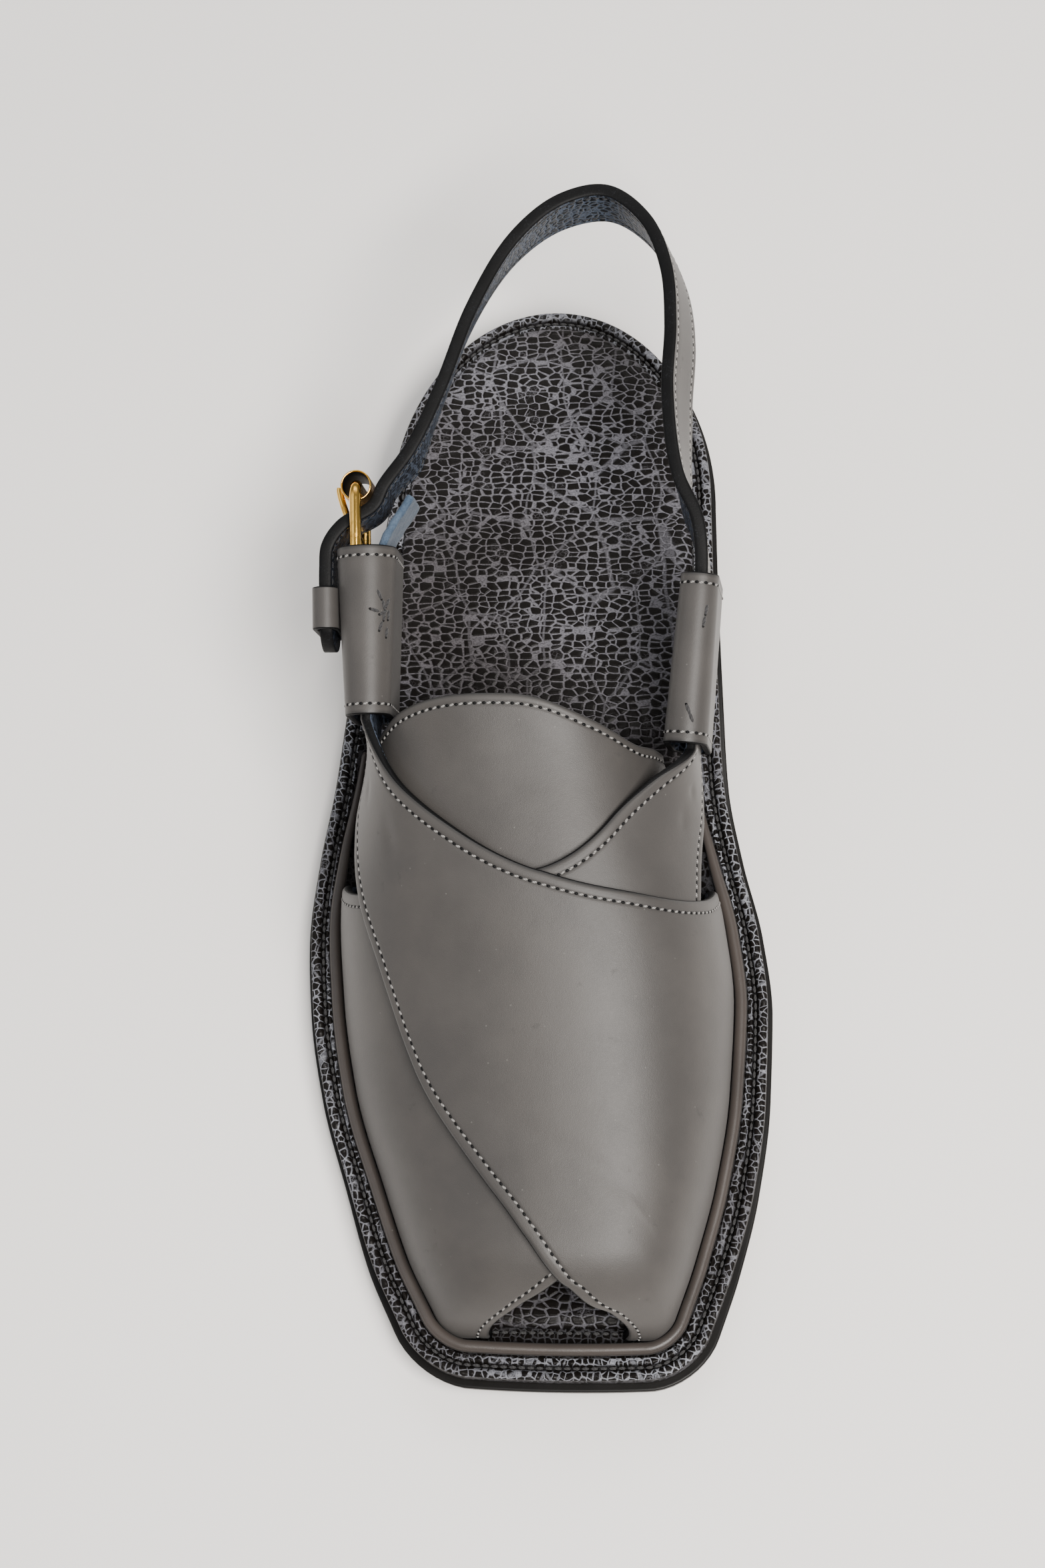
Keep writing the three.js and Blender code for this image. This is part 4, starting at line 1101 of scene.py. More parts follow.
@dataclass(frozen=True)
class BlueSuede:
    """Blue-grey suede with a short uneven nap."""

    name: str = "blue_suede"
    colour: Colour = (0.034, 0.055, 0.088, 1.0)
    pale: Colour = (0.085, 0.118, 0.165, 1.0)

    def build(self) -> bpy.types.Material:
        """Builds the material.

        Returns:
            The material.
        """
        material, shade, shader = new_finish(
            self.name, Specular_IOR_Level=0.1, Sheen_Weight=0.12, Sheen_Roughness=0.4)
        place, link = shade.place(), material.node_tree.links.new
        nap = shade.noise(place, 1900.0, 5.0, 0.72)
        patch = shade.noise(place, 190.0, 4.0, 0.6)
        show = shade.math("MULTIPLY_ADD", nap, 0.7, shade.times(patch, 0.6))
        tone = shade.blend(shade.span(show, 0.45, 0.85), self.colour, self.pale)
        link(tone, shader.inputs["Base Color"])
        link(shade.math("MULTIPLY_ADD", nap, 0.1, 0.86), shader.inputs["Roughness"])
        link(shade.bump(nap, 0.16), shader.inputs["Normal"])
        return material


@dataclass(frozen=True)
class WarmBrass:
    """Polished brass with fine drawing lines and a little tarnish."""

    name: str = "warm_brass"
    colour: Colour = (0.84, 0.50, 0.11, 1.0)
    tarnish: Colour = (0.34, 0.17, 0.035, 1.0)

    def build(self) -> bpy.types.Material:
        """Builds the material.

        Returns:
            The material.
        """
        material, shade, shader = new_finish(self.name, Metallic=1.0, Coat_Roughness=0.1)
        place, link = shade.place(), material.node_tree.links.new
        dull = shade.span(shade.noise(place, 330.0, 4.0, 0.6), 0.45, 0.72)
        fine = shade.noise(place, 3800.0, 3.0)
        tone = shade.blend(shade.times(dull, 0.6), self.colour, self.tarnish)
        link(tone, shader.inputs["Base Color"])
        link(shade.math("MULTIPLY_ADD", dull, 0.2, 0.14), shader.inputs["Roughness"])
        link(shade.bump(fine, 0.008), shader.inputs["Normal"])
        return material


@dataclass(frozen=True)
class TwistedThread:
    """Plied thread whose dark twist crosses each stitch, with painted shade at its ends where it dives
    into the leather.
    """

    name: str = "light_thread"
    colour: Colour = (0.27, 0.258, 0.245, 1.0)
    twist: Colour = (0.030, 0.029, 0.028, 1.0)

    def build(self) -> bpy.types.Material:
        """Builds the material.

        Returns:
            The material.
        """
        material, shade, shader = new_finish(
            self.name, Specular_IOR_Level=0.3, Sheen_Weight=0.2, Roughness=0.7)
        link = material.node_tree.links.new
        own = shade.add("ShaderNodeAttribute", attribute_name="ply").outputs["Vector"]
        split = shade.add("ShaderNodeSeparateXYZ", {0: own})
        slant = shade.times(split.outputs[1], 3.2)
        angle = shade.math("MULTIPLY_ADD", split.outputs[0], 7.0, slant)
        line = shade.span(shade.math("SINE", angle), 0.35, 0.95)
        # Painted shade: each stitch darkens towards its ends, where it dives into the leather.
        end = shade.span(shade.math("ABSOLUTE", split.outputs[0]), 0.7, 1.0)
        dark = shade.math("MAXIMUM", shade.times(line, 0.75), end)
        link(shade.blend(dark, self.colour, self.twist), shader.inputs["Base Color"])
        height = shade.math("MULTIPLY_ADD", shade.noise(shade.place(), 5000.0, 3.0), 0.3, line)
        link(shade.bump(height, -0.05), shader.inputs["Normal"])
        return material


@dataclass
class Finishes:
    """Every material of the shoe, built once."""

    leather: Any = None
    welt: Any = None
    insole: Any = None
    rim: Any = None
    rim_wall: Any = None
    lining: Any = None
    edge: Any = None
    rubber: Any = None
    suede: Any = None
    brass: Any = None
    thread: Any = None
    dark_thread: Any = None
    hole_shade: Any = None

    def build(self) -> "Finishes":
        """Builds the materials and returns the set.

        Returns:
            The set itself.
        """
        self.leather = SmoothLeather().build()
        self.welt = SmoothLeather(
            "piping_leather", colour=(0.050, 0.041, 0.036, 1.0), deep=(0.037, 0.031, 0.028, 1.0),
            roughness=0.36).build()
        self.insole = CrackleLeather().build()
        self.rim = CrackleLeather(
            "rim_crackle", cells=560.0, relief=0.14, stretch=(1.0, 1.0, 0.03), layer=0.00055,
            network=(0.125, 0.124, 0.138, 1.0), bright=(0.29, 0.30, 0.335, 1.0), lines=0.15).build()
        self.rim_wall = CrackleLeather(
            "rim_wall_crackle", cells=560.0, relief=0.14, stretch=(1.0, 1.0, 1.0), layer=0.0, lines=0.2,
            network=(0.045, 0.042, 0.044, 1.0), bright=(0.10, 0.10, 0.11, 1.0)).build()
        self.lining = CrackleLeather(
            "lining_crackle", cells=560.0, stretch=(1.0, 1.0, 1.0), layer=0.0, lines=0.22,
            pebble=(0.006, 0.007, 0.009, 1.0), network=(0.045, 0.056, 0.080, 1.0),
            bright=(0.095, 0.118, 0.160, 1.0)).build()
        self.edge = DarkEdge().build()
        self.rubber = BlackRubber().build()
        self.suede = BlueSuede().build()
        self.brass = WarmBrass().build()
        self.thread = TwistedThread().build()
        self.dark_thread = TwistedThread(
            "dark_thread", colour=(0.030, 0.029, 0.030, 1.0), twist=(0.008, 0.008, 0.008, 1.0)).build()
        # Near black: painted shade in needle holes, punched holes and the roller's bore.
        self.hole_shade = DarkEdge("painted_hole_shade", fibre=(0.02, 0.02, 0.02, 1.0)).build()
        return self

    def hide(self) -> list[Any]:
        """The face, the painted edge and the lining of a plate of leather, as its finishes."""
        return [self.leather, self.edge, self.lining]


# Sewing


def seam_tree() -> bpy.types.NodeTree:
    """Geometry nodes that sew stitches and their needle holes, as dark grains of painted shade, along
    polylines.

    Returns:
        The tree, which reads the polylines' own attribute `lie` as the leather's normal.
    """
    tree = bpy.data.node_groups.new("seam", "GeometryNodeTree")
    tree.interface.new_socket("Path", in_out="INPUT", socket_type="NodeSocketGeometry")
    for name, value in (("Pitch", 0.0024), ("Length", 0.0018), ("Width", 0.0006),
                        ("Height", 0.0005), ("Slant", 0.2), ("Hole", 0.0004)):
        socket = tree.interface.new_socket(name, in_out="INPUT", socket_type="NodeSocketFloat")
        socket.default_value = value
    for name in ("Thread", "Hole Shade"):
        tree.interface.new_socket(name, in_out="INPUT", socket_type="NodeSocketMaterial")
    tree.interface.new_socket("Stitches", in_out="OUTPUT", socket_type="NodeSocketGeometry")
    nodes = Shade(tree)

    def node(kind: str, inputs: dict[Any, Any] | None = None, **settings: Any) -> Any:
        """First output of a new node."""
        return nodes.add(kind, inputs, **settings).outputs[0]

    source, sink = nodes.add("NodeGroupInput").outputs, nodes.add("NodeGroupOutput")
    curve = node("GeometryNodeMeshToCurve", {"Mesh": source["Path"]})
    curve = node("GeometryNodeResampleCurve", {"Curve": curve, "Length": source["Pitch"]}, mode="LENGTH")
    tangent = node("GeometryNodeInputTangent")
    lie = node("GeometryNodeInputNamedAttribute", {"Name": "lie"}, data_type="FLOAT_VECTOR")
    align = "FunctionNodeAlignRotationToVector"
    turn = node(align, {"Vector": tangent}, axis="X")
    turn = node(align, {"Rotation": turn, "Vector": lie}, axis="Z", pivot_axis="X")
    spin = node("FunctionNodeAxisAngleToRotation", {"Axis": (0, 0, 1), "Angle": source["Slant"]})
    both_turns = {"Rotation": turn, "Rotate By": spin}
    slanted = node("FunctionNodeRotateRotation", both_turns, rotation_space="LOCAL")

    def kept_as(shape: Any, name: str, value: Any, data: str, domain: str) -> Any:
        """A shape with a value kept on it under a name."""
        inputs = {"Geometry": shape, "Name": name, "Value": value}
        return node("GeometryNodeStoreNamedAttribute", inputs, data_type=data, domain=domain)

    def grain_of_rice(size: tuple[Any, Any, Any], segments: int, rings: int, hole: bool) -> Any:
        """One stitch or hole, with its own coordinates kept in `ply`.

        Args:
            size: half its length, width and height.
            segments: sides of the ball.
            rings: rows of the ball.
            hole: whether it is a needle hole.

        Returns:
            The geometry's socket.
        """
        ball = {"Segments": segments, "Rings": rings, "Radius": 1.0}
        shape = node("GeometryNodeMeshUVSphere", ball)
        shape = kept_as(shape, "ply", node("GeometryNodeInputPosition"), "FLOAT_VECTOR", "POINT")
        shape = kept_as(shape, "hole", hole, "BOOLEAN", "FACE")
        scale = node("ShaderNodeCombineXYZ", {0: size[0], 1: size[1], 2: size[2]})
        return node("GeometryNodeTransform", {"Geometry": shape, "Scale": scale})

    def part_of(name: str, share: float = 0.5) -> Any:
        """A share of one of the sizes."""
        return node("ShaderNodeMath", {0: source[name], 1: share}, operation="MULTIPLY")

    stitch = grain_of_rice((part_of("Length"), part_of("Width"), part_of("Height")), 8, 7, False)
    # Each needle hole is a sunk dark grain of painted shade.
    hole_shade = grain_of_rice((source["Hole"], part_of("Hole", 0.78), part_of("Hole", 0.35)), 7, 4, True)
    on_points = "GeometryNodeInstanceOnPoints"
    sewn = node(on_points, {"Points": curve, "Instance": stitch, "Rotation": slanted})
    step = {0: tangent, "Scale": part_of("Pitch")}
    step = node("ShaderNodeVectorMath", step, operation="SCALE")
    moved = node("GeometryNodeSetPosition", {"Geometry": curve, "Offset": step})
    shaded_holes = node(on_points, {"Points": moved, "Instance": hole_shade, "Rotation": turn})
    both = nodes.add("GeometryNodeJoinGeometry")
    tree.links.new(sewn, both.inputs[0])
    tree.links.new(shaded_holes, both.inputs[0])
    smooth = node("GeometryNodeSetShadeSmooth", {"Geometry": both.outputs[0]})
    real = node("GeometryNodeRealizeInstances", {"Geometry": smooth})
    holes = node("GeometryNodeInputNamedAttribute", {"Name": "hole"}, data_type="BOOLEAN")
    done = node("GeometryNodeSetMaterial", {"Geometry": real, "Material": source["Thread"]})
    inputs = {"Geometry": done, "Selection": holes, "Material": source["Hole Shade"]}
    done = node("GeometryNodeSetMaterial", inputs)
    tree.links.new(done, sink.inputs[0])
    return tree


@dataclass
class Seam:
    """One style of stitching, sewn along any number of paths in millimetres."""

    name: str
    thread: Any
    hole_shade: Any
    pitch: float = 2.35
    length: float = 1.35
    width: float = 0.60
    height: float = 0.55
    slant: float = 0.28
    hole: float = 0.52
    paths: list[tuple[Array, Array, bool]] = field(default_factory=list)

    def along(self, points: Array, normals: Array, closed: bool = False) -> "Seam":
        """Adds a path with the leather's normal at each point, and returns the seam."""
        self.paths.append((np.asarray(points), np.asarray(normals), closed))
        return self

    def make(self, shift: float) -> bpy.types.Object:
        """Sews the paths.

        Args:
            shift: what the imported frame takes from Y, in millimetres.

        Returns:
            A plain mesh of all stitches.
        """
        points, edges, lies = [], [], []
        for path, normals, closed in self.paths:
            first, count = len(points), len(path)
            points.extend(((path - (0, shift, 0)) * MM).tolist())
            lies.append(normals)
            edges.extend((first + i, first + i + 1) for i in range(count - 1))
            if closed:
                edges.append((first + count - 1, first))
        mesh = bpy.data.meshes.new(self.name + "_path")
        mesh.from_pydata(points, edges, [])
        lie = mesh.attributes.new("lie", "FLOAT_VECTOR", "POINT")
        lie.data.foreach_set("vector", np.vstack(lies).astype(np.float32).ravel())
        thread_path = bpy.data.objects.new(self.name + "_path", mesh)
        bpy.context.scene.collection.objects.link(thread_path)
        modifier = thread_path.modifiers.new("seam", "NODES")
        modifier.node_group = bpy.data.node_groups.get("seam") or seam_tree()
        values = {"Pitch": self.pitch * MM, "Length": self.length * MM, "Width": self.width * MM,
                  "Height": self.height * MM, "Slant": self.slant, "Hole": self.hole * MM,
                  "Thread": self.thread, "Hole Shade": self.hole_shade}
        for item in modifier.node_group.interface.items_tree:
            if item.name in values and item.in_out == "INPUT":
                modifier[item.identifier] = values[item.name]
        graph = bpy.context.evaluated_depsgraph_get()
        sewn = bpy.data.meshes.new_from_object(thread_path.evaluated_get(graph))
        bpy.data.objects.remove(thread_path)
        sewn.name = self.name
        made = bpy.data.objects.new(self.name, sewn)
        bpy.context.scene.collection.objects.link(made)
        return made


BAND_STITCHES: dict[str, float] = {
    "pitch": 2.2, "length": 1.6, "width": 0.5, "height": 0.45, "hole": 0.28}


@dataclass
class Bench:
    """What every sub-assembly needs: the finishes, the frame's shift, and the way to hand a piece in."""

    finishes: Finishes
    shift: float

    def hand_in(self, made: bpy.types.Object, slot: Slot, *nodes: str) -> bpy.types.Object:
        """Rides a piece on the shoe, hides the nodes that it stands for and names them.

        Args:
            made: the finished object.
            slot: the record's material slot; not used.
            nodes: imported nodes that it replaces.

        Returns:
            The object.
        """
        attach(made, BODY)
        if nodes:
            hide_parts(*nodes)
        stands_for = " for " + ", ".join(nodes) if nodes else ""
        LOG.info("%s: %d faces%s", made.name, len(made.data.polygons), stands_for)
        return made

    def piece(self, piece: Piece, slot: Slot, *nodes: str) -> bpy.types.Object:
        """Makes a piece and hands it in."""
        return self.hand_in(piece.make(self.shift), slot, *nodes)

    def seam(self, seam: Seam, slot: Slot) -> bpy.types.Object:
        """Sews a seam and hands it in."""
        return self.hand_in(seam.make(self.shift), slot)


def path_normals(points: Array, sideways: Array) -> Array:
    """Normals along a path from the direction that lies across it.

    Args:
        points: the path.
        sideways: directions across the path, in the leather's surface.

    Returns:
        Unit vectors square to both.
    """
    return unit(np.cross(sideways, np.gradient(points, axis=0)))


# Sub-assemblies


@dataclass
class Sole:
    """Rubber outsole and heel, the footbed's stitched rim, the insole and the piping."""

    shape: SoleShape
    bench: Bench
    pitch: float = 2.3
    insole_rise: float = 2.6
    breast: float = 0.695
    hollow: float = 5.0
    bead_swell: float = 0.15
    groove_spread: float = 0.25
    groove_depth: float = 1.0
    fine: tuple[int, int, int, int] = (150, 470, 36, 130)
    coarse: tuple[int, int, int, int] = (36, 110, 10, 22)

    def strip_caps(self, size: int, counts: Sequence[int], start: int) -> list[tuple[int, ...]]:
        """Faces between the two sides of a ring, and a fan over its front.

        Args:
            size: points in the ring.
            counts: the ring's counts.
            start: index of the ring's first point.

        Returns:
            Faces that turn like the ring.
        """
        side = counts[0] + counts[1] + 1 + counts[2]
        faces: list[tuple[int, ...]] = [(start, start + 1, start + size - 1)]
        end = start + size
        faces += [(start + i, start + i + 1, end - i - 1, end - i) for i in range(1, side - 1)]
        faces += [(start + side - 1, start + i, start + i + 1) for i in range(side, size - side + 1)]
        return faces

    def stack(self, name: str, rings: list[Array], counts: Sequence[int], finishes: list[Any]) -> Piece:
        """A closed solid from rings stacked on each other.

        Args:
            name: the piece's name.
            rings: outlines from the bottom to the top.
            counts: the ring's counts of points.
            finishes: the piece's materials.

        Returns:
            The closed piece.
        """
        size = len(rings[0])
        faces = loop_faces(len(rings), size)
        faces += [tuple(reversed(f)) for f in self.strip_caps(size, counts, 0)]
        faces += self.strip_caps(size, counts, (len(rings) - 1) * size)
        return Piece(name, np.vstack(rings), faces, finishes)

    def rubber(self, piece: Piece, size: int) -> Piece:
        """Marks a rubber piece's first ring, its underside, for the tread, and returns the piece."""
        piece.marks["tread"] = (np.arange(len(piece.points)) < size).astype(float)
        return piece

    def above_board(self, rise: float) -> Curve:
        """Height a distance above the footbed board's top."""
        return lambda along: self.shape.board_top(along) + rise

    def rim_lines(self) -> tuple[float, float, float]:
        """Insets of the rim's edge, of its groove's near side and of its groove's far side.

        Returns:
            Three distances inside the sole's edge.
        """
        shape = self.shape
        near = shape.ledge + shape.outer_bead + self.bead_swell
        return shape.ledge, near, near + shape.groove + self.groove_spread

    def outsole(self) -> Piece:
        """Rubber outsole with a rounded foot, a shallow groove in its wall and a ledge on top.

        Returns:
            The piece.
        """
        shape = self.shape
        profile = [(2.2, 0.0), (1.3, 0.02), (0.8, 0.07), (0.5, 0.14), (0.34, 0.3), (0.3, 0.53),
                   (0.42, 0.575), (0.8, 0.6), (0.9, 0.63), (0.9, 0.69), (0.8, 0.72), (0.25, 0.745),
                   (0.05, 0.78), (0.0, 0.85), (0.0, 0.92), (0.08, 0.965), (0.3, 0.99), (0.7, 1.0)]
        rings = [shape.ring(inset, lambda a, s=share: shape.underside(a) + shape.rubber * s, self.coarse)
                 for inset, share in profile]
        piece = self.stack("rubber_outsole", rings, self.coarse, [self.bench.finishes.rubber])
        return self.rubber(piece, len(rings[0]))

    def heel(self) -> Piece:
        """Low heel block with a hollowed breast.

        Returns:
            The piece.
        """
        shape = self.shape
        profile = [(4.2, 0.0), (3.0, 0.03), (2.4, 0.1), (2.15, 0.2), (1.9, 0.5), (1.85, 0.84),
                   (1.5, 0.93), (1.2, 1.0)]
        rings = []
        for inset, share in profile:
            reach = (1 - shape.heel_start) * shape.length - inset
            turn = np.pi / 2 * np.arange(40) / 40
            back = shape.heel_start + reach * np.cos(turn) / shape.length
            along = np.concatenate([back, np.linspace(shape.heel_start, self.breast, 26)])
            way = np.linspace(1, 0, 22)[1:]
            halves = []
            for side in Side:
                x = shape.edge(side, along, inset)
                bow_x = x[-1] * way
                bow_y = shape.y(self.breast) + self.hollow * (1 - way**2)
                halves.append(np.stack([np.append(x, bow_x), np.append(shape.y(along), bow_y)], -1))
            flat = np.vstack([halves[0], halves[1][1:-1][::-1]])
            z = np.full(len(flat), (shape.heel - shape.fit) * share)
            rings.append(np.column_stack([flat, z]))
        size = len(rings[0])
        faces = loop_faces(len(rings), size) + end_faces(len(rings), size)
        piece = Piece("rubber_heel", np.vstack(rings), faces, [self.bench.finishes.rubber])
        return self.rubber(piece, size)

    def groove_ring(self) -> Array:
        """Middle line of the stitched groove in the rim.

        Returns:
            Points of the closed line.
        """
        _, near, far = self.rim_lines()
        inset = self.shape.rim_inset((near + far) / 2)
        return self.shape.ring(inset, self.above_board(-0.42), self.fine)

    def bead_line(self, start: float, share: float) -> Callable[..., Array]:
        """Inset at a share of the way over the inner bead, from its start to its end.

        Args:
            start: inset of the bead's start.
            share: share of the way to its end.

        Returns:
            A function of side and place.
        """
        shape = self.shape
        first = shape.rim_inset(start)
        return lambda side, along: mix(first(side, along), shape.bead_end(side, along), share)

    def rim(self) -> Piece:
        """Footbed board wrapped in crackle leather: two beads puckered by the groove's stitches.

        Returns:
            The rim, whose faces below the beads take the wall's finish.
        """
        shape, top = self.shape, self.shape.board
        edge, near, far = self.rim_lines()
        line = self.groove_ring()
        run = running(np.vstack([line, line[:1]]))
        pull = 0.5 - 0.5 * np.cos(2 * np.pi * run[:-1] / run[-1] * round(run[-1] / self.pitch))
        rows: list[tuple[Any, float, float, float]] = [
            (edge + 0.3, 0.0, 0.0, 0.0), (edge + 0.06, top * 0.12, 0.0, 0.0), (edge, top * 0.3, 0.0, 0.0),
            (edge, top * 0.55, 0.0, 0.0), (edge + 0.02, top * 0.78, 0.0, 0.0)]
        wall_rows = len(rows) + 1
        for i in range(11):
            turn = math.pi * i / 10
            lift = math.sin(turn) ** 0.8
            inset = edge + (near - edge) / 2 * (1 - math.cos(turn))
            # dark: painted shade down the outer bead's flank into the groove.
            dark = min(1.0, max(0.0, 0.3 * (i - 6)))
            rows.append((inset, top - 0.35 + 1.3 * lift, 0.055 * lift * i, dark))
        floor = top - self.groove_depth
        # The groove's floor takes full painted shade.
        rows += [(near + 0.05, floor, 0.0, 1.0), (far - 0.05, floor, 0.0, 1.0)]
        # Painted shade up out of the groove, and again at the inner bead's foot beside the piping and
        # insole.
        for i, dark in enumerate((1.0, 0.8, 0.35, 0.1, 0.0, 0.0, 0.1, 0.3, 0.6)):
            turn = math.pi * i / 8
            lift = math.sin(turn) ** 0.8
            inset = self.bead_line(far, (1 - math.cos(turn)) / 2)
            rise = top - 0.35 + (0.95 if i < 5 else 0.75) * lift + (0.25 if i > 6 else 0.0)
            rows.append((inset, rise, 0.50 * lift * (1 - i / 8), dark))
        rings, marks = [], []
        for inset, rise, give, dark in rows:
            inset = inset if callable(inset) else shape.rim_inset(inset)
            ring = shape.ring(inset, self.above_board(rise - top), self.fine)
            ring[:, 2] -= give * pull
            rings.append(ring)
            marks.append(np.full(len(ring), dark))
        finishes = self.bench.finishes
        piece = self.stack("stitched_rim", rings, self.fine, [finishes.rim, finishes.rim_wall])
        row = np.arange(len(piece.faces)) // len(rings[0])
        piece.kinds = ((row < wall_rows) | (row >= len(rings) - 1)).astype(int).tolist()
        piece.marks["burnish_and_shade"] = np.concatenate(marks)
        return piece

    def insole_inset(self, side: Side, along: Any) -> Array:
        """Distance from the sole's edge to the insole's wall.

        Args:
            side: the side of the shoe.
            along: places along the sole.

        Returns:
            The distance at each place.
        """
        shape, along = self.shape, np.asarray(along, float)
        beside = shape.piping_inset(side, np.minimum(along, shape.piping_end))
        beside = beside + shape.piping / 2 + shape.fit
        wall = (shape.strap_wall + 2 * shape.fit) * (1 - smoothstep(along, 0.445, 0.485))
        free = smoothstep(along, shape.piping_end, shape.piping_end + shape.rim_change)
        return mix(beside + wall, shape.rim_width() + shape.fit, free)

    def insole_line(self, extra: float) -> Callable[..., Array]:
        """Inset a distance inside the insole's wall."""
        return lambda side, along: self.insole_inset(side, along) + extra

    def insole(self) -> Piece:
        """Raised insole with a softly rounded edge and a faintly crowned, trodden top.

        Returns:
            The piece.
        """
        shape, counts = self.shape, self.coarse
        rings = []
        for extra, share in [(0.25, 0.0), (0.05, 0.12), (0.0, 0.3), (0.1, 0.5), (0.4, 0.7), (0.9, 0.85),
                             (1.6, 0.94), (2.6, 1.0)]:
            rise = self.above_board(shape.fit + self.insole_rise * share)
            rings.append(shape.ring(self.insole_line(extra), rise, counts))
        size = len(rings[0])
        side = counts[0] + counts[1] + 1 + counts[2]
        points = np.vstack(rings)
        faces = loop_faces(len(rings), size)
        faces += [tuple(reversed(f)) for f in self.strip_caps(size, counts, 0)]
        start = (len(rings) - 1) * size
        ring, columns = rings[-1], counts[3] + 2
        share = np.linspace(0, 1, columns)[1:-1]
        inner: list[Array] = []
        lines = [[start] * columns]
        for i in range(1, side - 1):
            across = mix(ring[i], ring[size - i], share[:, None])
            along = shape.along(across[:, 1])
            crown = np.sin(np.pi * share) ** 0.7
            across[:, 2] += 0.35 * crown - 0.55 * crown * smoothstep(along, 0.72, 0.86)
            first = len(points) + sum(len(x) for x in inner)
            inner.append(across)
            lines.append([start + i, *range(first, first + len(across)), start + size - i])
        lines.append([start + i for i in range(side - 1, size - side + 2)])
        for near, far in zip(lines, lines[1:]):
            for k in range(columns - 1):
                face = (near[k], far[k], far[k + 1], near[k + 1])
                faces.append(tuple(dict.fromkeys(face)))
        points = np.vstack([points, *inner])
        piece = Piece("crackle_insole", points, faces, [self.bench.finishes.insole])
        # Painted shade on the insole towards the toe, under the straps.
        piece.marks["burnish_and_shade"] = 0.5 * (1 - smoothstep(shape.along(points[:, 1]), 0.14, 0.3))
        return piece

    def piping(self) -> Piece:
        """Leather piping round the foot of the upper, from waist to waist, thinning at its ends.

        Returns:
            The piece.
        """
        shape = self.shape
        halves = []
        for side in Side:
            half = shape.half_ring(side, shape.piping_inset, (4, 170, 14))
            halves.append(half[half[:, 1] < shape.piping_end])
        front = shape.front_line(halves[0][-1], halves[1][-1], 30)
        path = np.vstack([halves[0], front, halves[1][::-1]])
        flat = np.column_stack([path[:, 0], shape.y(path[:, 1])])
        run = running(flat)
        scale = np.clip(0.4 + 0.0145 * np.minimum(run, run[-1] - run), 0, 1)
        scale[[0, -1]] = 0.2
        way = unit(np.gradient(flat, axis=0))
        radius = shape.piping / 2 * scale
        middle = np.column_stack([flat, shape.board_top(path[:, 1]) + shape.fit + radius])
        across = np.column_stack([-way[:, 1], way[:, 0], 0 * run])
        turn = turns(20)
        section = radius[:, None, None] * np.stack([np.cos(turn), np.sin(turn)], -1)
        points, faces = sweep(middle, across, np.tile(UPWARDS, (len(path), 1)), section)
        # Painted shade on the piping's two flanks.
        marks = np.tile(np.where(np.abs(np.sin(turn)) < 0.35, 0.35, 0.0), len(path))
        return Piece("leather_piping", points, faces, [self.bench.finishes.welt],
                     marks={"burnish_and_shade": marks})

    def seams(self) -> list[Seam]:
        """Stitches in the rim's groove, beside the insole at the heel, and across the toe opening.

        Returns:
            The rim's seam and the footbed's seam.
        """
        shape, finishes = self.shape, self.bench.finishes
        line = self.groove_ring()
        length = running(np.vstack([line, line[:1]]))[-1]
        style = dict(width=0.75, height=0.7, slant=0.0, hole=0.3)
        groove = Seam("rim_seam", finishes.dark_thread, finishes.hole_shade,
                      pitch=length / round(length / self.pitch) * 0.9995, length=1.9, **style)
        groove.along(line, np.tile(UPWARDS, (len(line), 1)), True)
        inner = Seam("footbed_seam", finishes.dark_thread, finishes.hole_shade, pitch=2.3, length=1.8, **style)
        halves = []
        for side in Side:
            half = shape.half_ring(side, same_inset(shape.rim_width() + 0.12), (60, 200, 4))
            halves.append(half[half[:, 1] > shape.piping_end + shape.rim_change])
        path = np.vstack([halves[0][::-1], halves[1][1:]])
        path = np.column_stack([path[:, 0], shape.y(path[:, 1]), shape.board_top(path[:, 1]) + 0.1])
        inner.along(path, np.tile(UPWARDS, (len(path), 1)))
        inset = float(self.insole_inset(Side.MEDIAL, 0.0)) - 1.5
        x = np.linspace(-24, 34, 30)
        along = inset / shape.length + 0 * x
        toe = np.column_stack([x, shape.y(along), shape.board_top(along) + 0.15])
        inner.along(toe, np.tile(UPWARDS, (len(toe), 1)))
        return [groove, inner]

    def build(self) -> None:
        """Makes every piece of the sole."""
        bench = self.bench
        bench.piece(self.outsole(), Slot.RUBBER, "outsole")
        bench.piece(self.heel(), Slot.RUBBER, "heel_lift")
        bench.piece(self.rim(), Slot.CRACKLE, "midsole")
        bench.piece(self.insole(), Slot.CRACKLE, "insole")
        bench.piece(self.piping(), Slot.LEATHER, "piping")
        for seam in self.seams():
            bench.seam(seam, Slot.CRACKLE)


